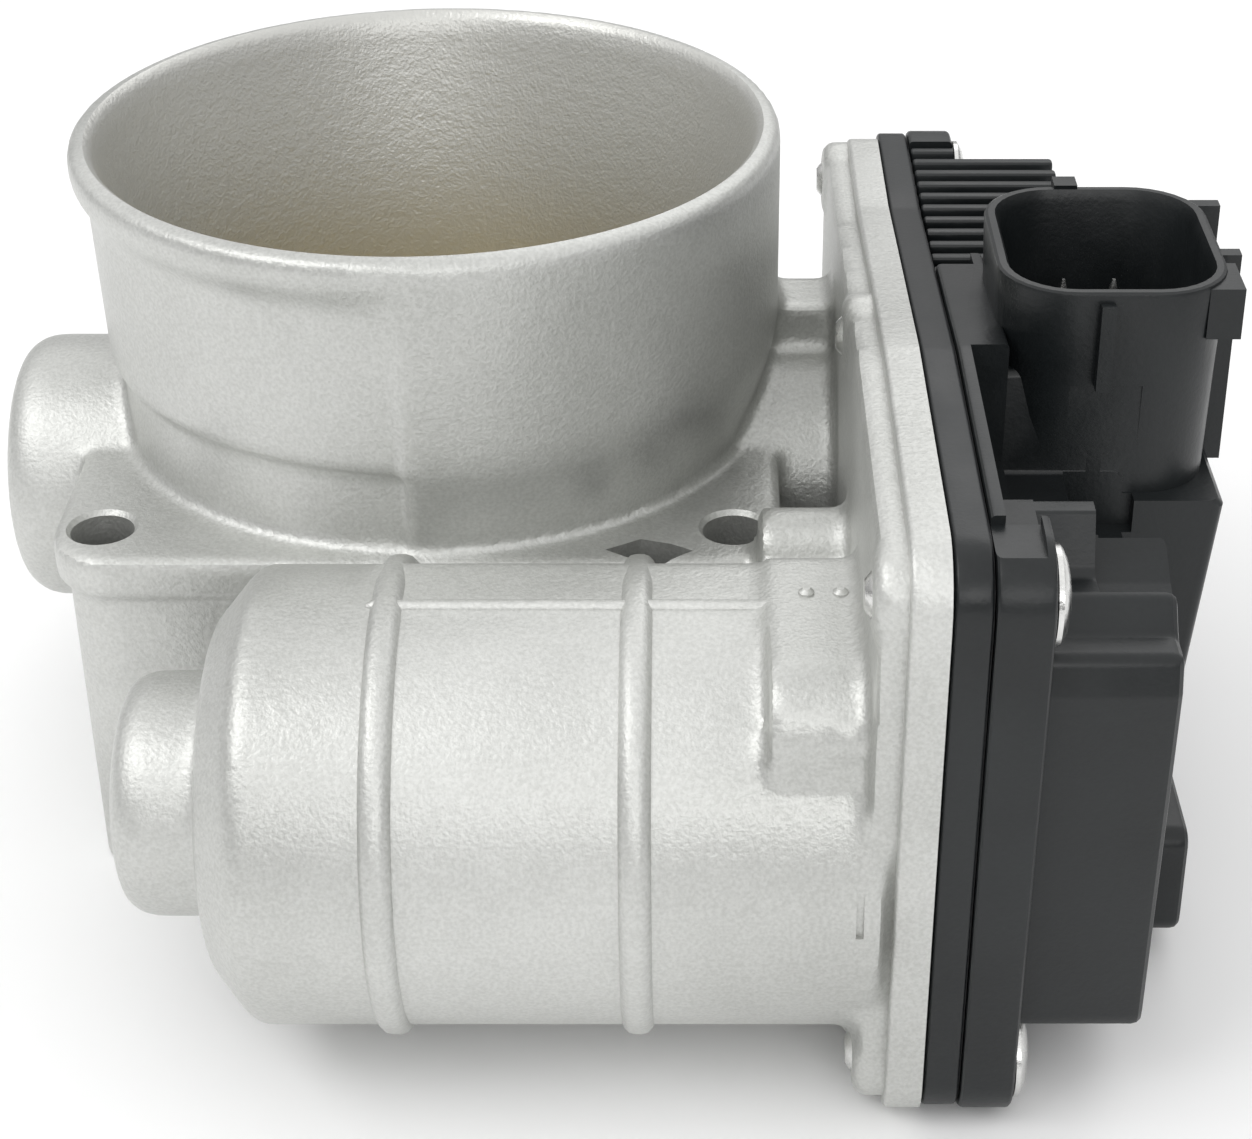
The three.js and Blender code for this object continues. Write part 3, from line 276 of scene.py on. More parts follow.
def inset(corners, distance, least=0.3):
    """The same corners with every side moved inwards."""
    moved = []
    for i, (u, v, radius) in enumerate(corners):
        here = Vector((u, v))
        come = (here - Vector(corners[i - 1][:2])).normalized()
        leave = (Vector(corners[(i + 1) % len(corners)][:2]) - here).normalized()
        share = distance / (1 + come.dot(leave))
        side = come.cross(leave)
        kept = radius - distance if side > 0 else radius + distance
        moved.append((u - share * (come.y + leave.y), v + share * (come.x + leave.x),
                      max(kept, least) if radius > 0 else 0))
    return moved


def box_corners(u0, v0, u1, v1, radius):
    return [(u0, v0, radius), (u1, v0, radius), (u1, v1, radius), (u0, v1, radius)]


def closed_mesh(name, lofts):
    """A mesh of closed skins. Each loft is a list of rings with the same number of points."""
    made = bmesh.new()
    for rings in lofts:
        levels = [[made.verts.new(point * MM) for point in ring] for ring in rings]
        count = len(levels[0])
        for low, high in zip(levels, levels[1:]):
            for i in range(count):
                j = (i + 1) % count
                made.faces.new((low[i], low[j], high[j], high[i]))
        made.faces.new(list(reversed(levels[0])))
        made.faces.new(levels[-1])
    bmesh.ops.recalc_face_normals(made, faces=made.faces)
    mesh = bpy.data.meshes.new(name)
    made.to_mesh(mesh)
    made.free()
    return mesh


def turned(axis, profile, centre=(0, 0), count=96):
    """Rings of a turned shape; the profile lists (along the axis, radius)."""
    return [at(axis, along, circle(radius, centre, count)) for along, radius in profile]


def slab(axis, corners, low, high, edge=0.0, steps=8, draft=0.0):
    """A flat-ended solid of a rounded outline, with its end edges rounded by `edge`."""
    if edge <= 0:
        return [at(axis, low, rounded(corners, steps)), at(axis, high, rounded(inset(corners, draft), steps))]
    rings = []
    for k in range(4):
        turn = math.pi / 2 * k / 3
        rings.append((low + edge * (1 - math.sin(turn)), edge * (1 - math.cos(turn))))
    rings.reverse()
    for k in range(4):
        turn = math.pi / 2 * k / 3
        rings.append((high - edge * (1 - math.sin(turn)), edge * (1 - math.cos(turn)) + draft))
    return [at(axis, along, rounded(inset(corners, shrink), steps)) for along, shrink in rings]


def block(low, high):
    return [at("Z", z, [(low[0], low[1]), (high[0], low[1]), (high[0], high[1]), (low[0], high[1])])
            for z in (low[2], high[2])]


def settle(piece):
    """Take the piece with its modifiers applied."""
    mesh = bpy.data.meshes.new_from_object(piece.evaluated_get(bpy.context.evaluated_depsgraph_get()))
    piece.modifiers.clear()
    piece.data = mesh
    return piece


def carve(piece, shapes, operation="DIFFERENCE"):
    """Cut each shape from the piece, or join it on. A shape is a list of rings or a made object."""
    for shape in shapes:
        made = isinstance(shape, bpy.types.Object)
        tool = shape if made else new_piece("tool", closed_mesh("tool", [shape]))
        step = piece.modifiers.new("step", "BOOLEAN")
        step.operation = operation
        step.solver = "MANIFOLD"
        step.object = tool
        settle(piece)
        bpy.data.objects.remove(tool)
    return piece


def crisp(piece, degrees=32):
    """Smooth shading that keeps the sharp edges."""
    piece.data.shade_smooth()
    piece.data.set_sharp_from_angle(angle=math.radians(degrees))
    return piece


SHAFT = (0, SHAFT_Z)
MOTOR = (MOTOR_Y, MOTOR_Z)
BORE_RADIUS = 30.0
SHAFT_RADIUS = 5
SHAFT_BOSS = 15
SEAT_RADIUS = 8.1
MOTOR_SEAT = 20
HOUSING_RADIUS = 22.4
PLATE_TOP = 39.8
PLATE_LOW = 35.4
CASE_BACK = 44.4
CASE_FLOOR = 46.6
CASE_WALL = 2.8
CASE_TOP_REAR = 60.8
CASE_TOP_FRONT = 64.8
LIP_ROUNDING = 0.45
IN_CASE = CASE_BACK + 1.5
PILLAR_RADIUS = 4.4
SCREW_HOLE = 2.1
PIN_HOLE = 2.6
BOLT_X, BOLT_Y, BOLT_HOLE = 32.9, 29.5, 3.3
RING_RIB_X = (0.1, 23.4)
WEB_LEFT = -1.8
WEB_TOP = MOTOR_Z + HOUSING_RADIUS
CASE_FRONT = MOTOR_Y - HOUSING_RADIUS - 1.1
case_corners = [
    (CASE_FRONT + 3, 0, 6), (32, 0, 9), (32, CASE_TOP_REAR, 7), (6, CASE_TOP_REAR, 12),
    (-38, CASE_TOP_FRONT, 12), (CASE_FRONT, CASE_TOP_FRONT, 6)]


def middle(node):
    low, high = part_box(node)
    return (low + high) / 2 / MM


screw_spots = [tuple(middle(f"cover_screw_{i}"))[1:] for i in range(1, 6)]
motor_screw_spots = [tuple(middle(f"motor_screw_{i}"))[1:] for i in (1, 2)]
IDLER = tuple(middle("idler_pin"))[1:]
STOP = tuple(middle("default_stop_screw"))[1:]


def at_spots(spots, profile, count=40):
    return [turned("X", profile, spot, count) for spot in spots]


def half_disc(radius, start):
    return circle(radius, count=64, start=start, sweep=math.pi)


right_tube = [at("Z", z, half_disc(r, -math.pi / 2)) for z, r in (
    (35, 35), (PLATE_TOP, 35), (44, 36.2), (49.8, 37.8), (52, 38), (RIM_TOP - 0.9, 38), (RIM_TOP, 37.3))]


def easing_half(radius, seam_radius, spread=0.42):
    """The left half's section, which swells to the seam's radius over its last part."""
    points = []
    for i in range(65):
        from_seam = min(i, 64 - i) / 64 * math.pi / spread
        share = max(0.0, 1 - from_seam) ** 2
        angle = math.pi / 2 + math.pi * i / 64
        swollen = radius + (seam_radius - radius) * share
        points.append((swollen * math.cos(angle), swollen * math.sin(angle)))
    return points


left_tube = [at("Z", z, easing_half(r, seam)) for z, r, seam in (
    (35, 35, 35), (PLATE_TOP, 34.7, 34.7), (49.1, 34.6, 34.6), (49.8, 35.9, 37.2), (67.6, 36.4, 37.6),
    (69.0, 37.2, 37.7), (70.2, 37.9, 37.9), (RIM_TOP - 0.9, 38, 38), (RIM_TOP, 37.3, 37.3))]
plate_corners = box_corners(-37.9, -36.8, 37.9, 36.8, 7)
housing = turned("X", [
    (-26.6, 9.0), (-26.1, 10.6), (-25.0, 11.6), (-23.6, 12), (-17.4, 12), (-17.3, 17.2), (-13.6, 21.8),
    (-12.6, HOUSING_RADIUS), (IN_CASE, HOUSING_RADIUS)], MOTOR, 128)
rib_half = [(1.7, 21.8), (1.4, 22.7), (0.9, 23.2), (0.4, 23.35)]
ring_ribs = [
    turned("X", [(x - out, r) for out, r in rib_half] + [(x + out, r) for out, r in reversed(rib_half)],
           MOTOR, 160) for x in RING_RIB_X]
web_ridge = turned("X", [(WEB_LEFT, 0.35), (-1.2, 0.7), (35.6, 0.7)], (MOTOR_Y - 1.6, WEB_TOP - 0.1), 20)
web = [at("X", x, [
    (MOTOR_Y + 2, MOTOR_Z - 16), (-35, MOTOR_Z - 16), (-35, PLATE_LOW + 1), (MOTOR_Y + 6, WEB_TOP + 0.2),
    (MOTOR_Y - 2, WEB_TOP + 0.2)]) for x in (WEB_LEFT, IN_CASE)]
pad = slab("X", [
    (MOTOR_Y - 18.2, MOTOR_Z + 11.5, 0), (MOTOR_Y - 5, MOTOR_Z + 11.5, 0), (MOTOR_Y + 6.5, WEB_TOP + 0.8, 0),
    (MOTOR_Y - 18.2, WEB_TOP + 0.8, 6.5)], 35.5, IN_CASE)
pad_boss = turned("X", [(35.2, 3.6), (35.7, 4.2), (IN_CASE, 4.2)], (-36, PLATE_TOP + 1.2), 48)
left_boss = turned("X", [
    (BODY_LOW.x, 12.4), (BODY_LOW.x + 0.9, 13.9), (BODY_LOW.x + 2.4, 14.8), (BODY_LOW.x + 4, SHAFT_BOSS),
    (0, SHAFT_BOSS)], SHAFT)
right_boss = turned("X", [(0, SHAFT_BOSS), (IN_CASE, SHAFT_BOSS)], SHAFT)
boss_wall = block((34, -0.7, SHAFT_Z), (IN_CASE, 8, 51.4))
case_body = slab("X", inset(case_corners, 1.5), CASE_BACK, CASE_FACE - 2)
case_lip = slab("X", case_corners, CASE_FACE - 3.5, CASE_FACE + 1, LIP_ROUNDING)
screw_bosses = at_spots(screw_spots, [
    (CASE_FACE - 6.5, 3.4), (CASE_FACE - 5.8, PILLAR_RADIUS), (CASE_FACE, PILLAR_RADIUS)])
motor_screw_bosses = at_spots(motor_screw_spots, [
    (CASE_BACK - 4, 2.8), (CASE_BACK - 3.4, 3.6), (CASE_FLOOR, 3.6)])

casting = new_piece("casting", closed_mesh("casting", [
    right_tube, left_tube,
    slab("Z", plate_corners, PLATE_LOW, PLATE_TOP), slab("Z", inset(plate_corners, 1.2), -1, PLATE_LOW + 1),
    left_boss, right_boss, boss_wall, housing, web, pad, pad_boss, case_body,
    *screw_bosses, *motor_screw_bosses]))
fuse = casting.modifiers.new("fuse", "REMESH")
fuse.mode = "VOXEL"
fuse.voxel_size = 0.7 * MM
ease = casting.modifiers.new("ease", "SMOOTH")
ease.factor = 0.5
ease.iterations = 5
settle(casting)
carve(casting, [
    case_lip, *ring_ribs, web_ridge,
    *[turned("Z", [(WEB_TOP - 1, 0.8), (WEB_TOP + 1.0, 0.75), (WEB_TOP + 1.35, 0.35)], (x, MOTOR_Y - 0.6), 24)
      for x in (39.2, 42.4)]], "UNION")

# The hollow of the case leaves the screw bosses and the intermediate gear's boss standing.
hollow_corners = inset(case_corners, CASE_WALL, 4)
hollow = new_piece("hollow", closed_mesh("hollow", [slab("X", hollow_corners, CASE_FLOOR, CASE_FACE + 1)]))
carve(hollow, at_spots([*screw_spots, IDLER], [(CASE_FLOOR - 1, 5.0), (CASE_FACE + 2, PILLAR_RADIUS)]))
BEARING_LEFT = CASE_FLOOR - 6.4
carve(casting, [
    turned("Z", [(-2, BORE_RADIUS), (42, BORE_RADIUS), (70.3, 34.9), (RIM_TOP - 1.2, 35.3),
                 (RIM_TOP - 0.4, 35.7), (RIM_TOP + 0.3, 36.6), (RIM_TOP + 2, 38)], count=192),
    block((-60, -100, -5), (80, 60, 0)),
    block((CASE_FACE, -100, -5), (80, 60, 90)),
    hollow,
    turned("X", [(BODY_LOW.x - 1, 8.6), (BODY_LOW.x + 0.5, SEAT_RADIUS), (-33.5, SEAT_RADIUS), (-33.5, 5.4),
                 (BEARING_LEFT - 3.2, 5.4), (BEARING_LEFT - 3.2, SEAT_RADIUS), (BEARING_LEFT, SEAT_RADIUS),
                 (BEARING_LEFT, 11.1), (CASE_FLOOR + 1, 11.1)], SHAFT),
    turned("X", [(-24.1, 8.5), (-15, 8.5), (-15, 17), (-13, MOTOR_SEAT),
                 (CASE_FLOOR + 2.4, MOTOR_SEAT)], MOTOR, 128),
    *at_spots(screw_spots, [(CASE_BACK - 6, SCREW_HOLE), (CASE_FACE + 1, SCREW_HOLE)]),
    *at_spots(motor_screw_spots, [(CASE_BACK - 3, 1.6), (CASE_FACE, 1.6)]),
    *[turned("Z", [(-1, 3.8), (0.4, BOLT_HOLE), (PLATE_TOP - 0.5, BOLT_HOLE), (PLATE_TOP + 0.5, 4.2)],
             (x, y), 48)
      for x in (-BOLT_X, BOLT_X) for y in (-BOLT_Y, BOLT_Y)],
    [at("Z", z, [(19.6, -34.2), (24.6, -37.4), (28.6, -34.4), (26.4, -33.0), (23.2, -32.0)]) for z in (31, 42)],
    block((43.4, -81, 25), (44.1, MOTOR_Y - HOUSING_RADIUS + 0.5, 32)),
])
carve(casting, [
    turned("X", [(CASE_BACK + 0.5, 5.1), (51.4, 5.1), (51.9, 4.7)], IDLER, 40),
    turned("X", [(CASE_BACK + 0.6, 3.8), (48.3, 3.8), (48.6, 3.5)], STOP, 40)], "UNION")
carve(casting, [
    turned("X", [(CASE_BACK - 2, PIN_HOLE), (52.5, PIN_HOLE)], IDLER, 40),
    turned("X", [(CASE_BACK + 1, SCREW_HOLE), (50, SCREW_HOLE)], STOP, 40)])
crisp(casting)


def bore_mask(nodes, links, where):
    """1 on the machined wall of the bore, which widens towards the hose end, and 0 elsewhere."""
    split = nodes.new("ShaderNodeSeparateXYZ")
    flat = nodes.new("ShaderNodeCombineXYZ")
    reach = nodes.new("ShaderNodeVectorMath")
    reach.operation = "LENGTH"
    rise = nodes.new("ShaderNodeMapRange")
    inside = nodes.new("ShaderNodeMath")
    inside.operation = "LESS_THAN"
    links.new(where.outputs["Object"], split.inputs["Vector"])
    for side in "XY":
        links.new(split.outputs[side], flat.inputs[side])
    links.new(flat.outputs["Vector"], reach.inputs[0])
    for label, value in (("From Min", 0.042), ("From Max", 0.0733), ("To Min", 0.0306), ("To Max", 0.0362)):
        rise.inputs[label].default_value = value
    links.new(split.outputs["Z"], rise.inputs["Value"])
    links.new(reach.outputs["Value"], inside.inputs[0])
    links.new(rise.outputs["Result"], inside.inputs[1])
    return inside.outputs["Value"]


def bore_wall_and_painted_glow(made, low, high, rough):
    """Change a finish on the bore's wall: smoother, with a painted warm glow from the brass plate low in the
    bore, where `low` is the glow's colour and `high` the wall's own grey.
    """
    nodes, links = made.node_tree.nodes, made.node_tree.links
    shader = nodes["Principled BSDF"]
    where = next(node for node in nodes if node.type == "TEX_COORD")
    mask = bore_mask(nodes, links, where)
    rise = nodes.new("ShaderNodeSeparateXYZ")
    links.new(where.outputs["Object"], rise.inputs["Vector"])
    # Painted warm glow: the first colour sits low in the bore near the brass plate and fades to the wall's own
    # grey higher up.
    brass_glow_fade = nodes.new("ShaderNodeMapRange")
    brass_glow_fade.interpolation_type = "SMOOTHSTEP"
    brass_glow_fade.inputs["From Min"].default_value = 0.030
    brass_glow_fade.inputs["From Max"].default_value = 0.058
    links.new(rise.outputs["Z"], brass_glow_fade.inputs["Value"])
    tint = nodes.new("ShaderNodeMix")
    tint.data_type = "RGBA"
    tint.inputs["A"].default_value = (*low, 1)
    tint.inputs["B"].default_value = (*high, 1)
    links.new(brass_glow_fade.outputs["Result"], tint.inputs["Factor"])
    for label, own in (("Base Color", tint.outputs["Result"]), ("Roughness", None)):
        mix = nodes.new("ShaderNodeMix")
        mix.data_type = "RGBA" if own else "FLOAT"
        links.new(mask, mix.inputs["Factor"])
        links.new(shader.inputs[label].links[0].from_socket, mix.inputs["A"])
        if own:
            links.new(own, mix.inputs["B"])
        else:
            mix.inputs["B"].default_value = rough
        links.new(mix.outputs["Result"], shader.inputs[label])


blasted = finish("blasted_casting", (0.47, 0.475, 0.455), (0.66, 0.665, 0.645), (0.40, 0.50), metallic=0.75,
                 patch=38, speck=2600, raised=0.7, ripple_scale=700, ripple=0.12, fleck=0.42)
# The first colour is the painted warm glow from the brass plate; the second is the machined wall's own grey.
bore_wall_and_painted_glow(blasted, (0.56, 0.50, 0.34), (0.60, 0.60, 0.575), 0.40)
wear(casting, blasted)
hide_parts("throttle_body_casting")

# ==== End plug, left bearing and seals ====
# A pressed steel cup closes the left boss. Behind it a needle bearing and a lipped rubber seal carry
# the shaft; a second seal and a ball bearing sit in the right boss.

PLUG_LEFT, PLUG_RIGHT = (corner.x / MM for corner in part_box("bearing_end_plug"))
plug = new_piece("end_plug", closed_mesh("end_plug", [turned("X", [
    (PLUG_LEFT + 0.45, 4.6), (PLUG_LEFT + 0.35, 5.4), (PLUG_LEFT, 6.5), (PLUG_LEFT, 7.3),
    (PLUG_LEFT + 0.25, 7.8), (PLUG_LEFT + 0.6, 8.0), (PLUG_RIGHT - 0.2, 8.0), (PLUG_RIGHT, 7.8)], SHAFT)]))
crisp(plug)
zinc = finish("bright_zinc", (0.62, 0.62, 0.61), (0.82, 0.82, 0.80), (0.2, 0.34), metallic=1.0,
              patch=260, speck=5000, raised=0.12, ripple_scale=900, ripple=0.1)
wear(plug, zinc)
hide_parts("bearing_end_plug")


def dress(names, made):
    """Give kept pieces their finish, without touching their meshes."""
    for name in names:
        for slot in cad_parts[name].material_slots:
            slot.link = "OBJECT"
            slot.material = made


ground_steel = finish("ground_steel", (0.40, 0.41, 0.42), (0.58, 0.59, 0.60), (0.16, 0.3), metallic=1.0,
                      patch=200, speck=4000, raised=0.1, ripple=0.04, stretch=(12, 1, 1))
rubber = finish("seal_rubber", (0.010, 0.010, 0.011), (0.022, 0.022, 0.023), (0.62, 0.8),
                patch=300, speck=3500, raised=0.35)
dress(["needle_bearing", "ball_bearing_outer_ring", "ball_bearing_inner_ring"], ground_steel)
dress(["left_shaft_seal", "right_shaft_seal", "cover_seal"], rubber)

# ==== Throttle shaft, plate and screws ====
# The ground shaft is slotted for a brass plate, which two screws hold on the shaft's flat. The plate's
# rim is bevelled so that it closes against the bore at a small angle.

PLATE_THICK = 2.0
PLATE_SCREW_X = (-9, 9)
PLATE_SCREW_HOLE = 1.6
CLOSED, AT_REST = math.radians(6), math.radians(12)
REST_TILT = Matrix.Translation((0, 0, SHAFT_Z * MM)) @ Matrix.Rotation(-AT_REST, 4, "X")


def plate_ring(height, shrink=0.0):
    radius = BORE_RADIUS - 0.15 - shrink
    return [Vector((radius * math.cos(math.tau * i / 160),
                    radius / math.cos(CLOSED) * math.sin(math.tau * i / 160) - height * math.tan(CLOSED),
                    height)) for i in range(160)]


plate = new_piece("throttle_disc", closed_mesh("throttle_disc", [[
    plate_ring(-PLATE_THICK / 2, 0.2), plate_ring(-PLATE_THICK / 2 + 0.15), plate_ring(PLATE_THICK / 2 - 0.15),
    plate_ring(PLATE_THICK / 2, 0.2)]]))
plate_screw_holes = [
    turned("Z", [(-6, PLATE_SCREW_HOLE), (6, PLATE_SCREW_HOLE)], (x, 0), 32) for x in PLATE_SCREW_X]
carve(plate, plate_screw_holes)
plate.data.transform(REST_TILT)
crisp(plate, 24)
rolled_brass = finish("rolled_brass", (0.50, 0.38, 0.13), (0.66, 0.54, 0.24), (0.22, 0.36), metallic=1.0,
                      patch=90, speck=3000, raised=0.08, ripple_scale=120, ripple=0.05, stretch=(1, 10, 1))
wear(plate, rolled_brass, "throttle")
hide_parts("throttle_plate")

SHAFT_LEFT, SHAFT_RIGHT = (corner.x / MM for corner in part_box("throttle_shaft"))
shaft = new_piece("shaft", closed_mesh("shaft", [turned("X", [
    (SHAFT_LEFT, SHAFT_RADIUS - 0.8), (SHAFT_LEFT + 0.7, SHAFT_RADIUS), (SHAFT_RIGHT - 0.7, SHAFT_RADIUS),
    (SHAFT_RIGHT, SHAFT_RADIUS - 0.8)])]))
carve(shaft, [
    block((-30, -6, -1.1), (30, 6, 1.1)),
    block((-14, -SHAFT_RADIUS, 4), (14, SHAFT_RADIUS, 6)),
    *plate_screw_holes])
shaft.data.transform(REST_TILT)
crisp(shaft)
wear(shaft, ground_steel, "throttle")
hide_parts("throttle_shaft")


def copies_tree():
    """One part set on every given point, each copy turned by its own share of the full turn."""
    tree = bpy.data.node_groups.new("copies", "GeometryNodeTree")
    face = tree.interface
    face.new_socket("Points", in_out="INPUT", socket_type="NodeSocketGeometry")
    face.new_socket("Part", in_out="INPUT", socket_type="NodeSocketObject")
    face.new_socket("Turn about", in_out="INPUT", socket_type="NodeSocketVector")
    face.new_socket("Seed", in_out="INPUT", socket_type="NodeSocketInt")
    face.new_socket("Finish", in_out="INPUT", socket_type="NodeSocketMaterial")
    face.new_socket("Copies", in_out="OUTPUT", socket_type="NodeSocketGeometry")
    nodes, links = tree.nodes, tree.links
    given, out = nodes.new("NodeGroupInput"), nodes.new("NodeGroupOutput")
    part = nodes.new("GeometryNodeObjectInfo")
    turn = nodes.new("FunctionNodeRandomValue")
    turn.data_type = "FLOAT_VECTOR"
    place = nodes.new("GeometryNodeInstanceOnPoints")
    realize = nodes.new("GeometryNodeRealizeInstances")
    paint = nodes.new("GeometryNodeSetMaterial")
    links.new(given.outputs["Part"], part.inputs["Object"])
    links.new(given.outputs["Turn about"], turn.inputs["Max"])
    links.new(given.outputs["Seed"], turn.inputs["Seed"])
    links.new(given.outputs["Points"], place.inputs["Points"])
    links.new(part.outputs["Geometry"], place.inputs["Instance"])
    links.new(turn.outputs["Value"], place.inputs["Rotation"])
    links.new(place.outputs["Instances"], realize.inputs["Geometry"])
    links.new(realize.outputs["Geometry"], paint.inputs["Geometry"])
    links.new(given.outputs["Finish"], paint.inputs["Material"])
    links.new(paint.outputs["Geometry"], out.inputs["Copies"])
    return tree


copies = copies_tree()


def grow(piece, tree, values):
    """Run a tree on a piece with its inputs set by their identifiers, and keep the plain mesh."""
    step = piece.modifiers.new("grow", "NODES")
    step.node_group = tree
    for socket in tree.interface.items_tree:
        if socket.in_out == "INPUT" and socket.name in values:
            step[socket.identifier] = values[socket.name]
    return settle(piece)


def set_on(name, part, points, made, turn_about=(0, 0, 0), seed=1):
    """Copies of a part at the given points, as one piece."""
    mesh = bpy.data.meshes.new(name)
    mesh.from_pydata([Vector(point) * MM for point in points], [], [])
    piece = new_piece(name, mesh)
    grow(piece, copies, {"Part": part, "Turn about": turn_about, "Seed": seed, "Finish": made})
    bpy.data.objects.remove(part)
    return piece


plate_screw = new_piece("plate_screw", closed_mesh("plate_screw", [turned("Z", [
    (-4.4, 1.2), (-4.1, 1.5), (4.1, 1.5), (4.1, 2.8), (4.3, 3.0), (4.9, 3.0), (5.4, 2.7), (5.75, 2.0)],
    count=48)]))
carve(plate_screw, [block((-1.7, -0.3, 4.9), (1.7, 0.3, 7)), block((-0.3, -1.7, 4.9), (0.3, 1.7, 7))])
plate_screws = set_on(
    "plate_screws", plate_screw, [(x, 0, 0) for x in PLATE_SCREW_X], zinc, (0, 0, math.tau), 4)
plate_screws.data.transform(REST_TILT)
crisp(plate_screws)
wear(plate_screws, zinc, "throttle")
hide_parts("plate_screw_1", "plate_screw_2")

# ==== Gears, spring and lever ====
# Moulded nylon gears: a toothed sector clamped on the shaft by a nut, and an intermediate gear on a
# ground pin. A wound steel spring and a stamped lever bring the sector back to its rest angle.

nylon = finish("gear_nylon", (0.60, 0.56, 0.46), (0.72, 0.68, 0.58), (0.4, 0.55),
               patch=150, speck=2500, raised=0.12)
stamped = finish("stamped_steel", (0.30, 0.31, 0.32), (0.44, 0.45, 0.46), (0.3, 0.45), metallic=1.0,
                 patch=180, speck=3000, raised=0.15)
dress(["throttle_gear", "intermediate_gear"], nylon)
dress(["idler_pin"], ground_steel)
dress(["gear_nut", "default_stop_screw"], zinc)
dress(["return_spring", "default_lever"], stamped)
dress(["sensor_magnet"], finish("sintered_magnet", (0.04, 0.04, 0.042), (0.08, 0.08, 0.085), (0.5, 0.7),
                                metallic=0.3, patch=300, speck=2500, raised=0.3))

# ==== Motor ====
# A brushed motor in a drawn steel can: wound core, copper commutator, two carbon brushes and two curved
# ferrite magnets. Its stamped end bracket is held to the casting by two screws.

copper = finish("bare_copper", (0.48, 0.20, 0.09), (0.66, 0.32, 0.16), (0.25, 0.4), metallic=1.0,
                patch=260, speck=2600, raised=0.2, stretch=(1, 8, 8))
brass = finish("turned_brass", (0.52, 0.40, 0.16), (0.68, 0.56, 0.28), (0.2, 0.34), metallic=1.0,
               patch=260, speck=3600, raised=0.1)
dress(["motor_shaft"], ground_steel)
dress(["motor_pinion", "motor_rear_bush", "motor_front_bush", "motor_contact_front", "motor_contact_rear"],
      brass)
dress(["armature_winding", "commutator"], copper)
dress(["armature_core", "motor_can", "motor_wave_spring", "motor_end_bracket"], stamped)
dress(["motor_magnet_upper", "motor_magnet_lower"], finish(
    "ferrite", (0.035, 0.035, 0.038), (0.07, 0.07, 0.075), (0.55, 0.75), metallic=0.2,
    patch=220, speck=2200, raised=0.3))
dress(["motor_brush_front", "motor_brush_rear"], finish(
    "pressed_carbon", (0.012, 0.012, 0.013), (0.03, 0.03, 0.032), (0.5, 0.7), metallic=0.3,
    patch=300, speck=3000, raised=0.3))
dress(["motor_screw_1", "motor_screw_2"], zinc)

# ==== Gear case frame ====
# A moulded ring between the casting and the cover. It reaches further back than the casting, has a
# groove for the cover's rubber seal, and is clamped by the cover's screws.

FRAME_LEFT = CASE_FACE + 0.2
FRAME_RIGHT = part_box("gear_case_frame")[1].x / MM
black = finish("moulded_black", (0.006, 0.0075, 0.0082), (0.013, 0.0155, 0.0165), (0.30, 0.44), patch=70,
               speck=1900, raised=0.25, ripple_scale=160, ripple=0.06, specular=0.42, fleck=0.2)
lip_corners = [(34.6 if y == 32 else y, z, radius) for y, z, radius in case_corners]
# Shallow draw-in on the front edge that the frame and the cover share.
front_recess = slab("X", [
    (CASE_FRONT - 2, 16.0, 0), (CASE_FRONT + 1.3, 18.6, 1), (CASE_FRONT + 0.8, 33.1, 0),
    (CASE_FRONT - 2, 33.1, 0)], 50, 64)


def case_ring(name, corners, low, high, edge):
    """A ring of the case's section, with its screw pillars and their holes."""
    piece = new_piece(name, closed_mesh(name, [slab("X", corners, low, high, edge)]))
    inner = new_piece("inner", closed_mesh("inner", [slab("X", hollow_corners, low - 1, high + 1)]))
    carve(inner, at_spots(screw_spots, [(low - 2, PILLAR_RADIUS), (high + 2, PILLAR_RADIUS)]))
    carve(piece, [inner, *at_spots(screw_spots, [(low - 1, SCREW_HOLE), (high + 1, SCREW_HOLE)])])
    return piece


case_frame = case_ring("case_frame", inset(lip_corners, 0.3), FRAME_LEFT, FRAME_RIGHT, 0.35)
groove = new_piece("groove", closed_mesh("groove", [
    slab("X", inset(case_corners, 0.7, 4), FRAME_RIGHT - 1, 60)]))
carve(groove, [slab("X", inset(case_corners, 2.1, 4), FRAME_RIGHT - 2, 61)])
carve(case_frame, [groove, front_recess])
crisp(case_frame)
wear(case_frame, black)
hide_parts("gear_case_frame")
dress(["brush_holder"], black)

# ==== Gear cover ====
# One black glass-filled moulding: a lip that meets the frame, a domed body over the gears, a comb of
# ribs behind the connector, the connector's socket, and two boxes on the outer face.

LIP_LEFT = FRAME_RIGHT + 0.2
LIP_RIGHT = LIP_LEFT + 5.1
COVER_FACE = 71.5
SOCKET_X, SOCKET_Y, SOCKET_TOP = 69.3, -24.0, 70.0
SOCKET_FLOOR = 54.4
socket_corners = box_corners(SOCKET_X - 11.0, SOCKET_Y - 13.5, SOCKET_X + 11.7, SOCKET_Y + 13.5, 7.5)
cover_corners = [
    (CASE_FRONT + 6.5, 9, 4), (-56, 3, 8), (18.5, 3, 2), (29, 13.5, 2), (29, 56, 4), (-13.5, 56, 0.6),
    (-14.6, 59.8, 0.6), (-35, 60.6, 1), (-37.0, 50.2, 0.6), (-59.4, 49.6, 0.8), (-60.2, 60.2, 0.4),
    (-62.4, 60.2, 0.5),
    (-64.6, 54.8, 1.4), (-68.6, 55.3, 1.5), (-71.0, 52.6, 1.2), (-74.6, 52.6, 1.4), (-75.6, 49.0, 1.6)]
cavity_corners = [
    (-71.3, 10.8, 3), (-55.5, 5.2, 6), (26.8, 5.2, 4), (26.8, 53.8, 3), (-14, 53.8, 2), (-36, 49.2, 2),
    (-59.6, 48.4, 2), (-62, 51.5, 1.5), (-73.2, 49.0, 2.5)]

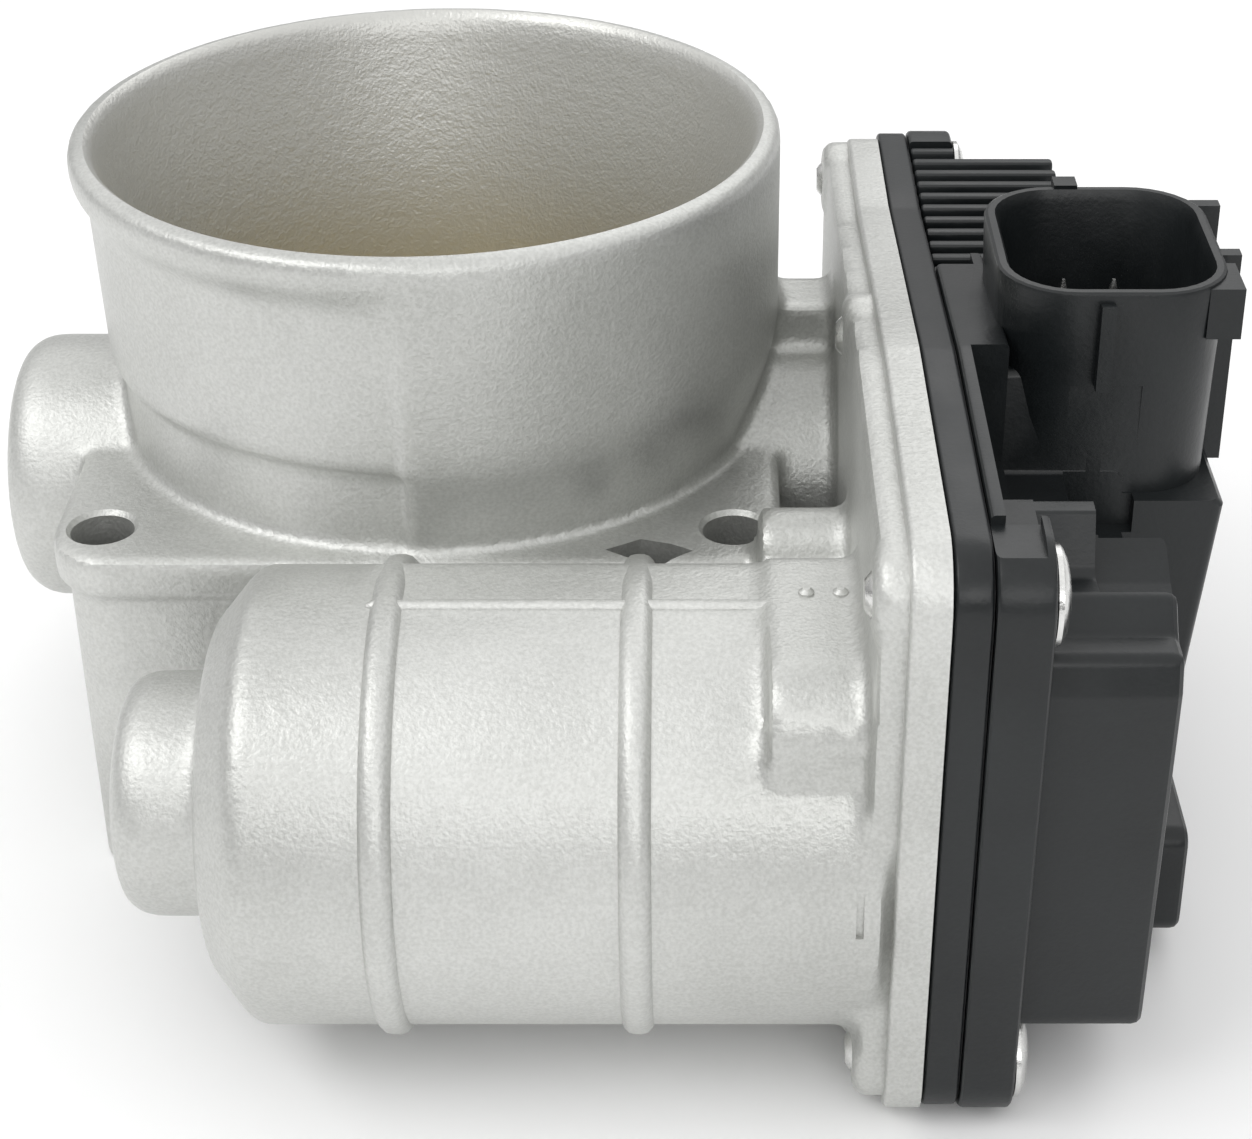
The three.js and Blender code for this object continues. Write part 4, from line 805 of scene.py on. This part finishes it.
cover = new_piece("cover", closed_mesh("cover", [slab("X", cover_corners, LIP_LEFT + 0.5, COVER_FACE, 1.1)]))
carve(cover, [
    slab("X", lip_corners, LIP_LEFT, LIP_RIGHT, 0.5),
    [at("Z", z, rounded(inset(socket_corners, shrink))) for z, shrink in (
        (44, 0.7), (60, 0.35), (SOCKET_TOP - 0.5, 0), (SOCKET_TOP - 0.15, 0.12), (SOCKET_TOP, 0.4))],
    [at("Z", z, rounded(box_corners(68, -38.6, x, -10.5, 1.2)))
     for z, x in ((13, 78.2), (47.2, 81.6), (48, 81))],
    slab("X", box_corners(-50.6, 2.6, -6.5, 15.6, 2.2), 66, 79.4, 1.0),
    block((67.7, -38.6, 44), (69.1, -36, SOCKET_TOP - 1)),
    block((78.5, -35.6, 64.3), (81.9, -29.4, SOCKET_TOP - 0.4)),
    block((66.2, -11.5, 60), (68.6, -9.0, SOCKET_TOP + 0.4)),
    *[block((79.6, y - 0.8, 46.5), (83.1, y + 0.8, SOCKET_TOP - 0.7)) for y in (-13.5, -26)],
], "UNION")


def rank_tree():
    """A row of like parts set at even steps."""
    tree = bpy.data.node_groups.new("rank", "GeometryNodeTree")
    face = tree.interface
    face.new_socket("Geometry", in_out="INPUT", socket_type="NodeSocketGeometry")
    face.new_socket("Part", in_out="INPUT", socket_type="NodeSocketObject")
    face.new_socket("Count", in_out="INPUT", socket_type="NodeSocketInt")
    face.new_socket("First", in_out="INPUT", socket_type="NodeSocketVector")
    face.new_socket("Step", in_out="INPUT", socket_type="NodeSocketVector")
    face.new_socket("Finish", in_out="INPUT", socket_type="NodeSocketMaterial")
    face.new_socket("Row", in_out="OUTPUT", socket_type="NodeSocketGeometry")
    nodes, links = tree.nodes, tree.links
    given, out = nodes.new("NodeGroupInput"), nodes.new("NodeGroupOutput")
    part = nodes.new("GeometryNodeObjectInfo")
    row = nodes.new("GeometryNodeMeshLine")
    row.mode = "OFFSET"
    place = nodes.new("GeometryNodeInstanceOnPoints")
    realize = nodes.new("GeometryNodeRealizeInstances")
    paint = nodes.new("GeometryNodeSetMaterial")
    links.new(given.outputs["Count"], row.inputs["Count"])
    links.new(given.outputs["First"], row.inputs["Start Location"])
    links.new(given.outputs["Step"], row.inputs["Offset"])
    links.new(given.outputs["Part"], part.inputs["Object"])
    links.new(row.outputs["Mesh"], place.inputs["Points"])
    links.new(part.outputs["Geometry"], place.inputs["Instance"])
    links.new(place.outputs["Instances"], realize.inputs["Geometry"])
    links.new(realize.outputs["Geometry"], paint.inputs["Geometry"])
    links.new(given.outputs["Finish"], paint.inputs["Material"])
    links.new(paint.outputs["Geometry"], out.inputs["Row"])
    return tree


rank = rank_tree()


def row_of(name, rings, count, first, step, made):
    """A row of parts whose first copy is moved to `first`."""
    part = new_piece("part", closed_mesh("part", [rings]))
    row = new_piece(name, bpy.data.meshes.new(name))
    grow(row, rank, {"Part": part, "Count": count, "First": Vector(first) * MM, "Step": Vector(step) * MM,
                     "Finish": made})
    bpy.data.objects.remove(part)
    return row


RIB_COUNT, FIRST_RIB_Y, RIB_PITCH = 12, 24.2, 3.4
rib = slab("X", box_corners(-0.8, 52, 0.8, 60.3, 0.5), LIP_LEFT + 0.1, COVER_FACE - 1, 0.4, steps=3)
ribs = row_of("ribs", rib, RIB_COUNT, (0, FIRST_RIB_Y, 0), (0, -RIB_PITCH, 0), black)
carve(cover, [
    block((LIP_LEFT - 1, -10.4, 58.9), (LIP_RIGHT + 1, 25.4, 70)),
    block((LIP_LEFT - 1, -13.9, 58.9), (LIP_RIGHT - 1.2, -10.3, 70)),
    block((LIP_LEFT + 1.3, -71.2, 60.2), (LIP_RIGHT + 0.4, -59.8, 72)),
    block((LIP_LEFT + 1.3, -60.2, 52), (LIP_RIGHT + 0.4, -37.7, 72)),
    slab("X", [(-58, 57.4, 0), (-50, 57.4, 0), (-50, 64, 0), (-68, 64, 0), (-68, 53.0, 0), (-64.4, 54.0, 2)],
         64.6, COVER_FACE + 2),
    block((65.4, -60.2, 44.4), (COVER_FACE + 1, -37.0, 60)),
    block((LIP_LEFT - 0.3, CASE_FRONT - 2, 63.9), (58.4, -71.2, 70)),
])
carve(cover, [ribs], "UNION")

cavity = new_piece("cavity", closed_mesh("cavity", [slab("X", cavity_corners, LIP_LEFT - 1, 64.2)]))
cavity_rear = slab("X", [(-35.5, 5.2, 2), (26.8, 5.2, 4), (26.8, 53.8, 3), (-14, 53.8, 2), (-35.5, 49.2, 2)],
                   60, COVER_FACE - 2.2)
carve(cavity, [cavity_rear, slab("X", hollow_corners, LIP_LEFT - 1.2, LIP_RIGHT - 1.8)], "UNION")
carve(cavity, [
    block((LIP_LEFT + 0.2, -73, 57.2), (COVER_FACE, -61.5, 70)),
    block((LIP_LEFT + 0.2, -61.6, 49.8), (COVER_FACE, -35.5, 70)),
    *at_spots(screw_spots, [(LIP_LEFT - 2, 7.0), (COVER_FACE, 7.0)]),
    [at("Z", z, rounded(socket_corners)) for z in (SOCKET_FLOOR - 2.4, 80)]])
carve(cover, [
    cavity,
    [at("Z", z, rounded(inset(socket_corners, shrink))) for z, shrink in (
        (SOCKET_FLOOR, 2.0), (SOCKET_TOP - 1.2, 1.6), (SOCKET_TOP + 0.2, 1.0), (SOCKET_TOP + 1, 1.0))],
    *at_spots(screw_spots, [(LIP_RIGHT, 5.0), (COVER_FACE + 2, 5.0)], 64),
    block((LIP_RIGHT, 21.65, 55.6), (COVER_FACE + 2, 31.6, 70)),
    *at_spots(screw_spots, [(LIP_LEFT - 1, SCREW_HOLE), (LIP_RIGHT + 1, SCREW_HOLE)]),
    front_recess,
])
PIN_ROW, PIN_COLUMN = 2.6, 4.6
pin_spots = [(SOCKET_X + row * PIN_ROW, SOCKET_Y + column * PIN_COLUMN)
             for row in (-1, 1) for column in (-1, 0, 1)]
carve(cover, [turned("X", [(COVER_FACE - 5.2, 4.9), (COVER_FACE - 1.8, 4.9)], IDLER, 40)], "UNION")
carve(cover, [
    turned("X", [(COVER_FACE - 6, PIN_HOLE), (COVER_FACE - 2.2, PIN_HOLE)], IDLER, 40),
    *[block((x - 0.5, y - 0.5, 48), (x + 0.5, y + 0.5, 56)) for x, y in pin_spots]])
crisp(cover, 28)
wear(cover, black)
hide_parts("gear_cover")

# ==== Connector pins ====
# Six tinned blades moulded into the floor of the socket, in two rows, with their tips chamfered.

PIN_LOW, PIN_HIGH = (corner.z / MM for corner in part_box("terminal_pin_1"))
pin_shape = [at("Z", z, rounded(box_corners(-half, -half, half, half, 0.08), 2)) for z, half in (
    (PIN_LOW, 0.4), (PIN_HIGH - 1.0, 0.4), (PIN_HIGH, 0.16))]
pins = set_on("connector_pins", new_piece("pin", closed_mesh("pin", [pin_shape])),
              [(x, y, 0) for x, y in pin_spots], zinc)
crisp(pins)
wear(pins, zinc)
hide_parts(*[f"terminal_pin_{i}" for i in range(1, 7)])

# ==== Cover screws ====
# Five zinc-plated pan-head screws with a rolled thread. Their tips come through the bosses at the back
# of the case, and each head has a six-cornered recess.

SCREW_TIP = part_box("cover_screw_1")[0].x / MM
HEAD_TOP = LIP_RIGHT + 1.6


def thread(low, high, outer, depth, pitch):
    """A stepped profile of rolled ridges."""
    rows = []
    for turn_at in range(int((high - low) / pitch)):
        base = low + turn_at * pitch
        rows += [(base, outer - depth), (base + pitch * 0.4, outer), (base + pitch * 0.6, outer)]
    return rows


screw = new_piece("screw", closed_mesh("screw", [turned("X", [
    (SCREW_TIP, 1.3), *thread(SCREW_TIP + 0.3, LIP_RIGHT - 3, 2.0, 0.3, 0.8), (LIP_RIGHT - 2.6, 1.9),
    (LIP_RIGHT + 0.1, 1.9), (LIP_RIGHT + 0.1, 4.3), (LIP_RIGHT + 0.25, 4.5), (LIP_RIGHT + 0.7, 4.5),
    (LIP_RIGHT + 0.95, 4.2), (LIP_RIGHT + 1.35, 3.4), (HEAD_TOP, 2.2)], count=48)]))
carve(screw, [turned("X", [(HEAD_TOP - 1.3, 1.3), (HEAD_TOP + 1, 1.4)], count=6)])
screws = set_on("cover_screws", screw, [(0, y, z) for y, z in screw_spots], zinc, (math.tau, 0, 0), 7)
crisp(screws)
wear(screws, zinc)
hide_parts(*[f"cover_screw_{i}" for i in range(1, 6)])

# ==== Sensor board ====
# A small green circuit board inside the cover, facing the magnet on the end of the shaft.

dress(["sensor_board"], finish("board_green", (0.012, 0.09, 0.045), (0.02, 0.14, 0.07), (0.3, 0.5),
                               patch=180, speck=2000, raised=0.1))
